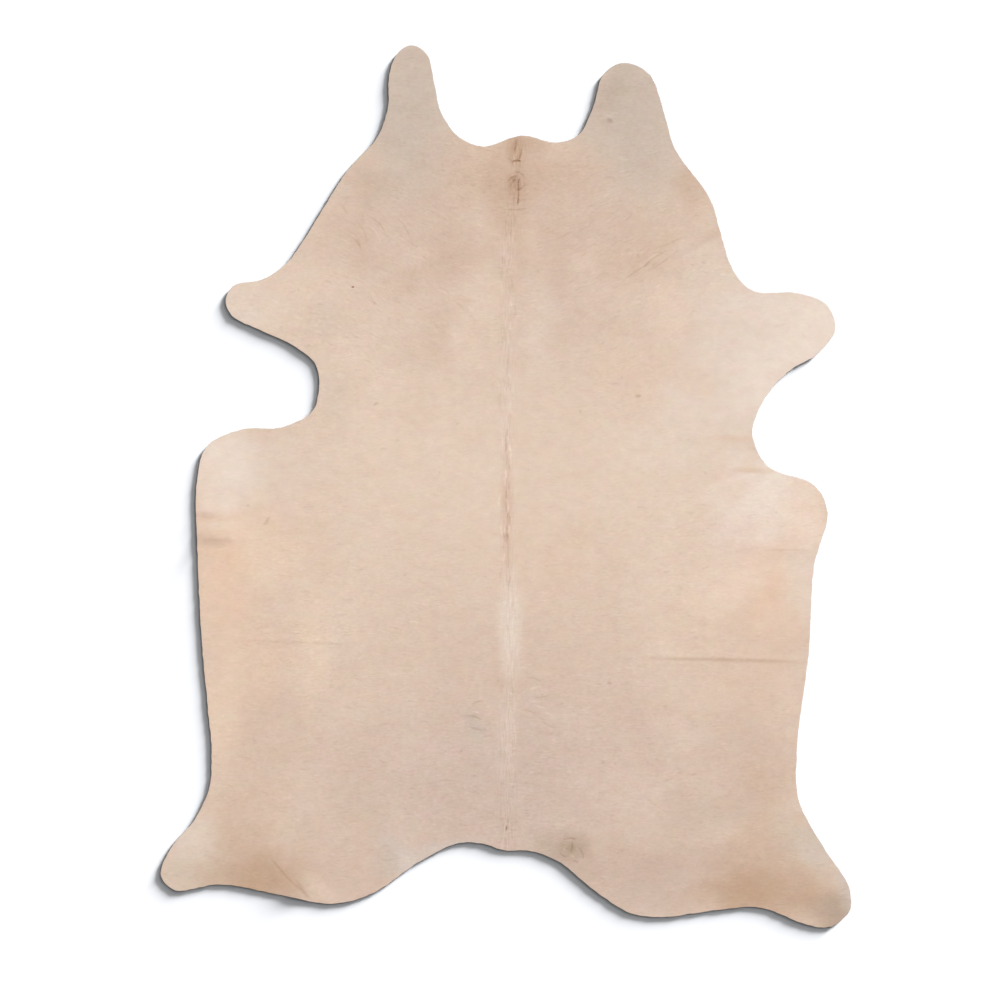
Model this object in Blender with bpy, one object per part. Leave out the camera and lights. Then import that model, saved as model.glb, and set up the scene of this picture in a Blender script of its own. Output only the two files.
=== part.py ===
"""A whole cowhide with its short hair on, lying flat on a surface.

It is one skin, so it is one solid. X runs to its right, Y towards its neck and Z up. The origin is the
middle of its box, at the height of the surface it lies on.
"""

from collections import namedtuple

import bmesh
import bpy
import numpy as np
from mathutils import Vector
from mathutils.geometry import delaunay_2d_cdt

# Driving dimensions, in metres
LENGTH = 2.300  # along the back, from the tips of the hind shanks to the tip of the longer neck flap
WIDTH = 1.800  # across the tips of the hind shanks
SKIN = 0.0024  # the tanned skin alone, at the edge
COAT = 0.0014  # the short hair that lies on it
BACK_EXTRA = 0.0008  # the skin is thicker than at the edge by this along the back
BACK_REACH = 0.45  # and thins down to the edge's thickness this far to each side
RIDGE_HEIGHT = 0.0014  # the hair stands up by this where it parts along the spine
RIDGE_REACH = 0.024  # to each side of the spine
RIDGE_END = 0.12  # the ridge comes down over this length at each end

# The mesh
EDGE_STEP = 0.018  # between points along the cut edge
FLAT_STEP = 0.066  # between points where the hide lies flat
CLEAR_OF_EDGE = 0.013  # inner points keep this far from the cut edge
CREST_ROWS = (-1.0, -0.5, 0.0, 0.5, 1.0)  # shares of a fold's reach, where the mesh has rows of points
CREST_CLEAR = 1.35  # of its reach, inside which the flat part's points stay away

# The cut edge, clockwise from the notch of the neck. Each row is one section of it, with the places
# (across, along) that it runs through at its start, middle and end.
Section = namedtuple("Section", "name start middle end")
EDGE = (
    Section("neck notch", (-0.060, 0.888), (0.040, 0.916), (0.125, 0.898)),
    Section("right neck flap, inside", (0.185, 0.916), (0.225, 0.988), (0.253, 1.076)),
    Section("right neck flap, outside", (0.305, 1.106), (0.372, 1.076), (0.408, 0.985)),
    Section("right shoulder", (0.440, 0.880), (0.530, 0.752), (0.565, 0.635)),
    Section("right fore leg", (0.595, 0.556), (0.645, 0.510), (0.755, 0.505)),
    Section("right fore shank", (0.832, 0.476), (0.857, 0.412), (0.812, 0.347)),
    Section("right elbow bay", (0.735, 0.300), (0.665, 0.215), (0.641, 0.135)),
    Section("right belly corner", (0.682, 0.052), (0.800, 0.004), (0.837, -0.068)),
    Section("right flank", (0.803, -0.200), (0.788, -0.430), (0.757, -0.690)),
    Section("right hind leg", (0.762, -0.820), (0.830, -0.948), (0.892, -1.045)),
    Section("right hind shank", (0.894, -1.110), (0.840, -1.151), (0.775, -1.142)),
    Section("right buttock", (0.660, -1.100), (0.530, -1.109), (0.400, -1.125)),
    Section("right side of the tail bay", (0.320, -1.113), (0.223, -1.051), (0.135, -0.980)),
    Section("tail root", (0.060, -0.952), (0.000, -0.951), (-0.060, -0.934)),
    Section("left side of the tail bay", (-0.125, -0.932), (-0.225, -0.979), (-0.350, -1.063)),
    Section("left buttock", (-0.455, -1.090), (-0.575, -1.070), (-0.745, -1.040)),
    Section("left hind shank", (-0.868, -1.054), (-0.902, -1.012), (-0.868, -0.934)),
    Section("left hind leg", (-0.815, -0.872), (-0.776, -0.790), (-0.769, -0.700)),
    Section("left flank", (-0.780, -0.570), (-0.795, -0.400), (-0.806, -0.180)),
    Section("left belly corner", (-0.807, 0.020), (-0.781, 0.105), (-0.690, 0.149)),
    Section("left elbow bay", (-0.590, 0.154), (-0.508, 0.195), (-0.489, 0.256)),
    Section("left fore shank, below", (-0.500, 0.322), (-0.563, 0.371), (-0.721, 0.451)),
    Section("left fore shank, above", (-0.732, 0.490), (-0.712, 0.524), (-0.635, 0.541)),
    Section("left shoulder", (-0.572, 0.585), (-0.522, 0.655), (-0.412, 0.829)),
    Section("left neck", (-0.335, 0.916), (-0.309, 0.995), (-0.307, 1.070)),
    Section("left neck flap, tip", (-0.285, 1.130), (-0.248, 1.152), (-0.208, 1.128)),
    Section("left neck flap, inside", (-0.188, 1.050), (-0.170, 0.975), (-0.125, 0.913)),
)

# The spine, from the neck notch to the tail root: how far across it lies at each place along.
Station = namedtuple("Station", "along across")
SPINE = (
    Station(0.900, 0.036),
    Station(0.770, 0.022),
    Station(0.560, 0.004),
    Station(0.000, 0.000),
    Station(-0.350, 0.014),
    Station(-0.600, 0.004),
    Station(-0.940, 0.000),
)

# Where the hide lifts off the surface in a soft ridge. Each row is one fold: the ends of the line that
# its crest follows, how far the crest's middle strays to the left of that line, how high it stands and
# how far it reaches to each side. A fold that runs out over the cut edge has its end outside it.
Fold = namedtuple("Fold", "name start end bow height reach")
FOLDS = (
    Fold("left cross fold", (-0.740, -0.402), (-0.360, -0.413), 0.004, 0.0034, 0.020),
    Fold("right cross fold", (0.350, -0.452), (0.810, -0.462), 0.005, 0.0048, 0.026),
    Fold("left flank ripple, upper", (-0.808, -0.063), (-0.700, -0.070), -0.003, 0.0044, 0.028),
    Fold("left flank ripple, lower", (-0.814, -0.135), (-0.640, -0.146), 0.006, 0.0064, 0.034),
    Fold("left hind leg fold", (-0.640, -0.930), (-0.512, -1.084), -0.008, 0.0050, 0.036),
    Fold("right shoulder crease", (0.640, 0.700), (0.420, 0.588), 0.010, 0.0046, 0.034),
    Fold("right elbow ripple, upper", (0.440, 0.148), (0.665, 0.112), -0.008, 0.0042, 0.034),
    Fold("right elbow ripple, lower", (0.540, 0.052), (0.735, 0.026), 0.006, 0.0038, 0.030),
    Fold("right flank ripple", (0.640, -0.166), (0.900, -0.172), 0.006, 0.0052, 0.034),
)
FOLD_END = 0.30  # of a fold's length, over which its crest comes down at each end

# Finish
HAIR_COLOUR = (0.72, 0.56, 0.45, 1.0)
HAIR_ROUGHNESS = 0.85


def clear_scene():
    for old in list(bpy.data.objects):
        bpy.data.objects.remove(old, do_unlink=True)


def hair_material():
    """Pale cream hair, dull and not metallic."""
    made = bpy.data.materials.new("pale_short_hair")
    made.use_nodes = True
    shader = made.node_tree.nodes["Principled BSDF"]
    shader.inputs["Base Color"].default_value = HAIR_COLOUR
    shader.inputs["Roughness"].default_value = HAIR_ROUGHNESS
    shader.inputs["Metallic"].default_value = 0.0
    return made


def smooth_loop(places, step):
    """A closed curve through the places, cut into spans of about this step.

    The slope at a place is that of the parabola through it and its two neighbours, spaced by the
    square roots of their distances, and each span between two places is the cubic with those slopes.
    """
    after = np.roll(places, -1, axis=0)
    before = np.roll(places, 1, axis=0)
    next_gap = np.sqrt(np.linalg.norm(after - places, axis=1))[:, None]
    last_gap = np.roll(next_gap, 1, axis=0)
    slope = (
        last_gap * (after - places) / next_gap + next_gap * (places - before) / last_gap
    ) / (last_gap + next_gap)
    spans = []
    for i, place in enumerate(places):
        j = (i + 1) % len(places)
        count = max(2, round(next_gap[i, 0] ** 2 / step))
        t = np.linspace(0, 1, count, endpoint=False)[:, None]
        spans.append(
            (1 - t) ** 2 * (1 + 2 * t) * place
            + t * (1 - t) ** 2 * next_gap[i] * slope[i]
            + t**2 * (3 - 2 * t) * places[j]
            - t**2 * (1 - t) * next_gap[i] * slope[j]
        )
    return np.concatenate(spans)


def to_real_size(loop):
    """The loop, shifted and stretched so that its box is WIDTH by LENGTH about the origin."""
    low, high = loop.min(axis=0), loop.max(axis=0)
    return (loop - (low + high) / 2) * np.array((WIDTH, LENGTH)) / (high - low)


def inside(points, loop):
    """True for each point inside the loop: a ray from it along X crosses the loop an odd number of times."""
    x, y = points[:, 0, None], points[:, 1, None]
    x1, y1 = loop.T
    x2, y2 = np.roll(loop, -1, axis=0).T
    spans = (y1 > y) != (y2 > y)
    rise = np.where(spans, y2 - y1, 1.0)
    return (spans & (x < x1 + (y - y1) * (x2 - x1) / rise)).sum(axis=1) % 2 == 1


def from_edge(points, loop):
    """Each point's distance to the nearest span of the loop."""
    start = loop[None]
    run = (np.roll(loop, -1, axis=0) - loop)[None]
    away = points[:, None] - start
    share = ((away * run).sum(axis=2) / (run**2).sum(axis=2)).clip(0, 1)
    return np.linalg.norm(away - share[:, :, None] * run, axis=2).min(axis=1)


def ease(share):
    """Goes from 0 to 1 as share does, level at both ends."""
    share = np.clip(share, 0, 1)
    return share**2 * (3 - 2 * share)


def ridge(off, reach):
    """A raised cosine: 1 on the crest, and level with the flat at its reach to either side."""
    return np.cos(np.pi / 2 * np.clip(off / reach, -1, 1)) ** 2


def fold_line(fold):
    """A fold's start, its run from there to its end, and the unit vector to the left of that run."""
    start = np.array(fold.start)
    run = np.array(fold.end) - start
    return start, run, np.array((-run[1], run[0])) / np.linalg.norm(run)


def stray(fold, share):
    """How far the crest lies left of its line: a parabola that is the fold's bow at the middle."""
    return fold.bow * 4 * share * (1 - share)


def along_and_off(points, fold):
    """Each point's share of the way along a fold, and how far left of the crest it lies."""
    start, run, left = fold_line(fold)
    share = (points - start) @ run / (run @ run)
    return share, (points - start) @ left - stray(fold, share)


def spine_across(along):
    """How far across the spine lies at each place along the hide."""
    table = np.array(SPINE[::-1])
    return np.interp(along, table[:, 0], table[:, 1])


def lift(points):
    """How high the underside stands: for each fold, a ridge that fades at its ends."""
    height = np.zeros(len(points))
    for fold in FOLDS:
        share, off = along_and_off(points, fold)
        fade = ease(np.minimum(share, 1 - share) / FOLD_END)
        height += fold.height * fade * ridge(off, fold.reach)
    return height


def thickness(points):
    """Skin and hair together: thickest along the back, with a low ridge where the hair parts there."""
    across, along = points.T
    off = across - spine_across(along)
    to_end = np.minimum(SPINE[0].along - along, along - SPINE[-1].along)
    parting = RIDGE_HEIGHT * ease(to_end / RIDGE_END) * ridge(off, RIDGE_REACH)
    return SKIN + COAT + BACK_EXTRA * ease(1 - np.abs(off) / BACK_REACH) + parting


def fold_points(fold):
    """Rows of points along a fold, one for each of CREST_ROWS, about its reach apart."""
    start, run, left = fold_line(fold)
    along = np.linspace(0, 1, max(3, round(np.linalg.norm(run) / fold.reach)))
    return np.array(
        [
            start + share * run + (stray(fold, share) + row * fold.reach) * left
            for share in along
            for row in CREST_ROWS
        ]
    )


def spine_points():
    """Rows of points along the spine's ridge."""
    along = np.arange(SPINE[-1].along, SPINE[0].along, 2 * RIDGE_REACH)
    across = spine_across(along)
    return np.array(
        [(x + row * RIDGE_REACH, y) for x, y in zip(across, along) for row in CREST_ROWS]
    )


def flat_points(loop):
    """Points in staggered rows over the hide, away from the folds and the spine."""
    low, high = loop.min(axis=0), loop.max(axis=0)
    row_step = FLAT_STEP * np.sqrt(3) / 2
    rows = np.arange(low[1], high[1], row_step)
    places = np.array(
        [
            (x, y)
            for number, y in enumerate(rows)
            for x in np.arange(low[0] + FLAT_STEP / 2 * (number % 2), high[0], FLAT_STEP)
        ]
    )
    near_spine = np.abs(places[:, 0] - spine_across(places[:, 1])) < CREST_CLEAR * RIDGE_REACH
    places = places[~near_spine]
    for fold in FOLDS:
        share, off = along_and_off(places, fold)
        over = (np.abs(share - 0.5) < 0.55) & (np.abs(off) < CREST_CLEAR * fold.reach)
        places = places[~over]
    return places


def triangles(loop, inner):
    """The triangles that fill the loop, with a corner at each of its points and each inner point."""
    corners = [Vector(place) for place in np.concatenate([loop, inner]).tolist()]
    edge = [(i, (i + 1) % len(loop)) for i in range(len(loop))]
    found = delaunay_2d_cdt(corners, edge, [], 1, 1e-7)
    return np.array([tuple(corner) for corner in found[0]]), found[2]


def hide(material):
    """The skin: its underside lies on z = 0 but for the folds, and its top follows a thickness above."""
    loop = to_real_size(smooth_loop(np.array([place for row in EDGE for place in row[1:]]), EDGE_STEP))
    inner = np.concatenate([flat_points(loop), spine_points()] + [fold_points(fold) for fold in FOLDS])
    inner = inner[inside(inner, loop)]
    inner = inner[from_edge(inner, loop) > CLEAR_OF_EDGE]
    flat, faces = triangles(loop, inner)

    bm = bmesh.new()
    base = [bm.verts.new((x, y, z)) for (x, y), z in zip(flat, lift(flat))]
    under = [bm.faces.new([base[i] for i in face]) for face in faces]
    raised = bmesh.ops.extrude_face_region(bm, geom=under, use_keep_orig=True)
    top = [item for item in raised["geom"] if isinstance(item, bmesh.types.BMVert)]
    for vert, deep in zip(top, thickness(np.array([vert.co.xy for vert in top]))):
        vert.co.z += deep
    bmesh.ops.recalc_face_normals(bm, faces=bm.faces)

    mesh = bpy.data.meshes.new("hide")
    bm.to_mesh(mesh)
    bm.free()
    mesh.materials.append(material)
    made = bpy.data.objects.new("hide", mesh)
    bpy.context.scene.collection.objects.link(made)
    return made


clear_scene()
hide(hair_material())
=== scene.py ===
# %% [markdown]
# # A whole cowhide with its short hair on
#
# The object is one skin. It was scraped clean on its flesh side, tanned, and trimmed round its edge with
# a knife, and the hair was left on. It lies flat on a floor and is seen from straight above, so what
# makes it look real is not its form, which is nearly a plane, but four quieter things: the cut outline,
# the soft change of tone from one part of the animal to the next, the lie of the hair, and the few folds
# that it kept from being rolled up.
#
# This lesson builds it as one closed sheet. Its heights are functions of two parameters, the place
# across the hide and the place along it, and its cut rim is a profile carried along the outline.

# %% Load the frame
import math
from collections import namedtuple

import bmesh
import bpy
import numpy as np
from mathutils.geometry import delaunay_2d_cdt
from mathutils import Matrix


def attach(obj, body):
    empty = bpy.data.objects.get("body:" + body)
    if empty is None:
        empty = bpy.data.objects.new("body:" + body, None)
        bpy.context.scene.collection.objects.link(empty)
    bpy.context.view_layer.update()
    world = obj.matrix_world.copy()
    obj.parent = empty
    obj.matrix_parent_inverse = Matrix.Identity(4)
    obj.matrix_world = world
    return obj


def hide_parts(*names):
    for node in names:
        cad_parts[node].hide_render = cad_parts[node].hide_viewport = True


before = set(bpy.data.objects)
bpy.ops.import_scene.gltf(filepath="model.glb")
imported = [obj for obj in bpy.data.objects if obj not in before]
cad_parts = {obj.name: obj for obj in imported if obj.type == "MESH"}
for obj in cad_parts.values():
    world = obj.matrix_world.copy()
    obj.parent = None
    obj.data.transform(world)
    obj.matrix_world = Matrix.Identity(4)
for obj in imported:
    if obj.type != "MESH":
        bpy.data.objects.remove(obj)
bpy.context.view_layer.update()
print("the frame's nodes:", sorted(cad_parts))

# %% [markdown]
# ## The camera, straight above
#
# The picture was taken from straight above, with the neck at the top. A long lens from six metres up
# hardly bends the outline. Its focal length follows from similar triangles: the sensor's width is to the
# focal length as the width of the floor in view is to the camera's height.

# %% Camera
SENSOR_WIDTH = 36.0
CAMERA_HEIGHT = 6.0
VIEW_WIDTH = 2.6077  # metres of floor from the picture's left side to its right side
VIEW_CENTRE = (-0.0156, -0.0352)
FAR_END = 100.0  # nothing in view is farther than this


def overhead_camera():
    """A camera that looks straight down, with +Y at the top of the picture."""
    lens = bpy.data.cameras.new("overhead")
    lens.sensor_width = SENSOR_WIDTH
    lens.lens = SENSOR_WIDTH * CAMERA_HEIGHT / VIEW_WIDTH
    lens.clip_end = FAR_END
    camera = bpy.data.objects.new("overhead", lens)
    camera.location = (*VIEW_CENTRE, CAMERA_HEIGHT)
    bpy.context.scene.collection.objects.link(camera)
    bpy.context.scene.camera = camera
    return camera


print("focal length in mm:", round(overhead_camera().data.lens, 1))

# %% [markdown]
# ## Soft studio light
#
# The hide is pale and matt, and the picture shows almost no shading on it: the soft lines along its
# folds are painted into the coat's colour as shade. So nearly all of its light is an even white surround,
# with a little from a soft sun at the upper right. But below and to the left of it the floor holds a deep
# soft shadow, four centimetres wide, which the few millimetres of the edge only throw from a low sun. Its
# dark part comes up slowly from the rim, which takes a second sun, higher and much softer. These two are
# linked to the floor alone: they light no hide, and the hide still stands in their way.
#
# A share of 0.1 means that a level white sheet gets a tenth of full white from that light. A sun adds its
# strength times the sine of its height, divided by pi.

# %% Light
SURROUND = 0.94
Sun = namedtuple("Sun", "name height bearing share softness")
KEY = Sun("key", 45.0, 50.0, 0.08, 30.0)
FLOOR_SUNS = (  # a sun's shadow is as long as the edge is high, over the tangent of the sun's height
    Sun("floor, low", 6.2, 45.0, 6.0, 11.6),
    Sun("floor, high", 19.0, 45.0, 1.30, 38.0),
)


def add_sun(sun):
    """A sun at this height and bearing in degrees. The bearing is taken from +X towards +Y."""
    lamp = bpy.data.lights.new(sun.name, "SUN")
    lamp.energy = sun.share * math.pi / math.sin(math.radians(sun.height))
    lamp.angle = math.radians(sun.softness)
    placed = bpy.data.objects.new(sun.name, lamp)
    placed.rotation_euler = (0.0, math.radians(90 - sun.height), math.radians(sun.bearing))
    bpy.context.scene.collection.objects.link(placed)
    return placed


def light_only(placed, lit):
    """Lets a lamp light this one object. Everything else still blocks it."""
    receivers = bpy.data.collections.new(f"lit by {placed.name}")
    receivers.objects.link(lit)
    placed.light_linking.receiver_collection = receivers


def white_surround(strength):
    """An even white world."""
    world = bpy.data.worlds.new("studio")
    world.use_nodes = True
    background = world.node_tree.nodes["Background"]
    background.inputs["Color"].default_value = (1.0, 1.0, 1.0, 1.0)
    background.inputs["Strength"].default_value = strength
    bpy.context.scene.world = world


white_surround(SURROUND)
add_sun(KEY)
bpy.context.scene.view_settings.view_transform = "Standard"
WHITE_LEVEL = SURROUND + KEY.share
print("a level white sheet shows at:", round(WHITE_LEVEL, 2))

# %% [markdown]
# ## Small helpers for node materials
#
# Every finish below is a short chain of shader nodes. Two helpers keep the chains readable: one makes a
# node and plugs its inputs in one call, and one does the same for a sum or a product. The tones below are
# named as a person sees them in a picture, so one more helper turns a seen colour into a surface's.

# %% Node helpers
def plug(tree, socket, value):
    """Links another node's output to the socket, or sets any other value on it."""
    if isinstance(value, bpy.types.NodeSocket):
        tree.links.new(value, socket)
    else:
        socket.default_value = value


def add_node(tree, kind, settings=None, **sockets):
    """A new node of this kind, with these settings and with its named inputs plugged."""
    made = tree.nodes.new(kind)
    for name, value in (settings or {}).items():
        setattr(made, name, value)
    for name, value in sockets.items():
        plug(tree, made.inputs[name.replace("_", " ")], value)
    return made


def arithmetic(tree, operation, *values, kind="ShaderNodeMath"):
    """The result of a Math or Vector Math node on these values, each a number or a node's output."""
    made = tree.nodes.new(kind)
    made.operation = operation
    for socket, value in zip(made.inputs, values):
        plug(tree, socket, value)
    return made.outputs[0]


def blank_material(name, roughness, specular):
    """A material with its node tree and its Principled shader, for a dull surface."""
    made = bpy.data.materials.new(name)
    made.use_nodes = True
    shader = made.node_tree.nodes["Principled BSDF"]
    shader.inputs["Roughness"].default_value = roughness
    shader.inputs["Specular IOR Level"].default_value = specular
    return made, made.node_tree, shader


def seen_as(red, green, blue):
    """The surface colour that is seen as this one, in a picture's 0 to 255 steps, under this light.

    The steps are turned into linear light, and divided by how bright a white sheet is here.
    """
    share = np.array((red, green, blue)) / 255
    light = np.where(share <= 0.04045, share / 12.92, ((share + 0.055) / 1.055) ** 2.4)
    return light / WHITE_LEVEL


print("a mid cream surface:", seen_as(220, 196, 177).round(3))

# %% [markdown]
# ## The floor
#
# A plain floor, a hair's breadth under the hide so that the two never share a plane. It is a grey that
# the low sun burns out to white, so only what the hide keeps from the sun is seen as grey. It has a very
# faint unevenness, and isn't part of the object.

# %% Floor
FLOOR_HALF = 14.0
FLOOR_DROP = 0.0003
FLOOR_COLOUR = (0.130, 0.132, 0.136)
FLOOR_CLOUD = 1.3  # clouds of tone for each metre
FLOOR_DARKEST = 0.985  # of its colour


def plain_floor():
    """One large square under the hide."""
    corners = np.array([(-1, -1), (1, -1), (1, 1), (-1, 1)]) * FLOOR_HALF
    mesh = bpy.data.meshes.new("floor")
    mesh.from_pydata([(x, y, -FLOOR_DROP) for x, y in corners.tolist()], [], [(0, 1, 2, 3)])
    made, tree, shader = blank_material("plain_floor", roughness=0.9, specular=0.0)
    place = add_node(tree, "ShaderNodeTexCoord").outputs["Object"]
    cloudy = add_node(tree, "ShaderNodeTexNoise", Vector=place, Scale=FLOOR_CLOUD).outputs["Fac"]
    tone = add_node(tree, "ShaderNodeMapRange", Value=cloudy, To_Min=FLOOR_DARKEST).outputs["Result"]
    colour = arithmetic(tree, "MULTIPLY", FLOOR_COLOUR, tone, kind="ShaderNodeVectorMath")
    plug(tree, shader.inputs["Base Color"], colour)
    mesh.materials.append(made)
    floor = bpy.data.objects.new("floor", mesh)
    bpy.context.scene.collection.objects.link(floor)
    return floor


floor = plain_floor()
for floor_sun in FLOOR_SUNS:
    light_only(add_sun(floor_sun), floor)

# %% [markdown]
# ## The cut edge, taken from the frame
#
# The frame already holds the true outline, as the rim of the solid's underside. Its points are 18 mm
# apart, so a smooth closed curve is run through them and cut into shorter spans. The solid's mesh is
# loose triangles, so a copy of it is merged first.

# %% Outline
MERGE = 1e-5
SPANS = 3  # short spans for each span of the solid's rim
LOOKS_DOWN = -0.5
UPRIGHT = 0.3


def rim_places(node):
    """The rim of the underside in order, anticlockwise, as (across, along).

    A rim edge lies between a face that looks down and one that stands upright.
    """
    copy = bmesh.new()
    copy.from_mesh(node.data)
    bmesh.ops.remove_doubles(copy, verts=copy.verts, dist=MERGE)
    copy.normal_update()
    beside = {}
    for edge in copy.edges:
        looks = sorted(face.normal.z for face in edge.link_faces)
        if looks[0] < LOOKS_DOWN and abs(looks[-1]) < UPRIGHT:
            for this, other in (edge.verts, reversed(edge.verts)):
                beside.setdefault(this, []).append(other)
    walk = [next(iter(beside))]
    walk.append(beside[walk[0]][0])
    while walk[-1] is not walk[0]:
        ahead, behind = beside[walk[-1]]
        walk.append(ahead if behind is walk[-2] else behind)
    loop = np.array([vert.co.xy for vert in walk[:-1]])
    copy.free()
    return loop if area_of(loop) > 0 else loop[::-1]


def area_of(loop):
    """Half the sum of the cross products of neighbouring places: positive when anticlockwise."""
    ahead = np.roll(loop, -1, axis=0)
    return 0.5 * (loop[:, 0] * ahead[:, 1] - loop[:, 1] * ahead[:, 0]).sum()


def smooth(loop, spans):
    """Each span cut into this many, on the cubic whose slope at a place is half the run between its
    two neighbours (a Catmull-Rom curve)."""
    before, ahead, beyond = (np.roll(loop, shift, axis=0)[:, None] for shift in (1, -1, -2))
    here = loop[:, None]
    t = np.linspace(0, 1, spans, endpoint=False)[None, :, None]
    curve = 0.5 * (
        2 * here
        + (ahead - before) * t
        + (2 * before - 5 * here + 4 * ahead - beyond) * t**2
        + (3 * here - before - 3 * ahead + beyond) * t**3
    )
    return curve.reshape(-1, 2)


def outward(loop):
    """The unit vector that points away from the hide at each place of the loop."""
    run = np.roll(loop, -1, axis=0) - np.roll(loop, 1, axis=0)
    away = np.column_stack((run[:, 1], -run[:, 0]))
    return away / np.linalg.norm(away, axis=1)[:, None]


edge = smooth(rim_places(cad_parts["hide"]), SPANS)

# %% [markdown]
# ## The lie of the sheet: folds and thickness
#
# A hide that has been rolled keeps soft ridges where the roll was creased, and its loose flanks ripple.
# Each is a raised cosine across, which is 1 on the crest and level at its reach, times a fade that brings
# the crest down at both ends. The same sizes shape the solid, so the sheet lies exactly on it. The skin
# is thickest along the back, and the hair stands up a little where it parts along the spine.

# %% Folds and thickness
SKIN = 0.0024
COAT = 0.0014
BACK_EXTRA = 0.0008
BACK_REACH = 0.45
RIDGE_HEIGHT = 0.0014
RIDGE_REACH = 0.024
RIDGE_END = 0.12
FOLD_END = 0.30

Station = namedtuple("Station", "along across")
SPINE = (
    Station(0.900, 0.036),
    Station(0.770, 0.022),
    Station(0.560, 0.004),
    Station(0.000, 0.000),
    Station(-0.350, 0.014),
    Station(-0.600, 0.004),
    Station(-0.940, 0.000),
)

Fold = namedtuple("Fold", "name start end bow height reach")
FOLDS = (
    Fold("left cross fold", (-0.740, -0.402), (-0.360, -0.413), 0.004, 0.0034, 0.020),
    Fold("right cross fold", (0.350, -0.452), (0.810, -0.462), 0.005, 0.0048, 0.026),
    Fold("left flank ripple, upper", (-0.808, -0.063), (-0.700, -0.070), -0.003, 0.0044, 0.028),
    Fold("left flank ripple, lower", (-0.814, -0.135), (-0.640, -0.146), 0.006, 0.0064, 0.034),
    Fold("left hind leg fold", (-0.640, -0.930), (-0.512, -1.084), -0.008, 0.0050, 0.036),
    Fold("right shoulder crease", (0.640, 0.700), (0.420, 0.588), 0.010, 0.0046, 0.034),
    Fold("right elbow ripple, upper", (0.440, 0.148), (0.665, 0.112), -0.008, 0.0042, 0.034),
    Fold("right elbow ripple, lower", (0.540, 0.052), (0.735, 0.026), 0.006, 0.0038, 0.030),
    Fold("right flank ripple", (0.640, -0.166), (0.900, -0.172), 0.006, 0.0052, 0.034),
)


def ease(share):
    """Goes from 0 to 1 as share does, level at both ends: three times its square less twice its cube."""
    share = np.clip(share, 0, 1)
    return share**2 * (3 - 2 * share)


def ridge(off, reach):
    """A raised cosine: 1 on the crest, and level with the flat at its reach to either side."""
    return np.cos(np.pi / 2 * np.clip(off / reach, -1, 1)) ** 2


def line_of(fold):
    """A fold's start, its run from there to its end, and the unit vector to the left of that run."""
    start = np.array(fold.start)
    run = np.array(fold.end) - start
    return start, run, np.array((-run[1], run[0])) / np.linalg.norm(run)


def along_and_off(places, fold):
    """Each place's share of the way along a fold, and how far left of its bowed crest it lies.

    The bow is a parabola: it is the fold's bow at the middle, and nothing at the ends.
    """
    start, run, left = line_of(fold)
    share = (places - start) @ run / (run @ run)
    return share, (places - start) @ left - fold.bow * 4 * share * (1 - share)


def on_fold(fold, share, off):
    """The place at this share of the way along a fold and this far left of its crest."""
    start, run, left = line_of(fold)
    return start + share[:, None] * run + (off + fold.bow * 4 * share * (1 - share))[:, None] * left


def spine_across(along):
    """How far across the spine lies at each place along the hide."""
    table = np.array(SPINE[::-1])
    return np.interp(along, table[:, 0], table[:, 1])


def lift(places):
    """How high the underside stands: for each fold, a ridge that fades at its ends."""
    height = np.zeros(len(places))
    for fold in FOLDS:
        share, off = along_and_off(places, fold)
        height += fold.height * ease(np.minimum(share, 1 - share) / FOLD_END) * ridge(off, fold.reach)
    return height


def thickness(places):
    """Skin and hair together: thickest along the back, with a low ridge where the hair parts there."""
    across, along = places.T
    off = across - spine_across(along)
    to_end = np.minimum(SPINE[0].along - along, along - SPINE[-1].along)
    parting = RIDGE_HEIGHT * ease(to_end / RIDGE_END) * ridge(off, RIDGE_REACH)
    return SKIN + COAT + BACK_EXTRA * ease(1 - np.abs(off) / BACK_REACH) + parting


crests = np.concatenate([on_fold(fold, np.array([0.5]), 0.0) for fold in FOLDS])
print("the folds stand this high in mm:", (1000 * lift(crests)).round(1))
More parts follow.
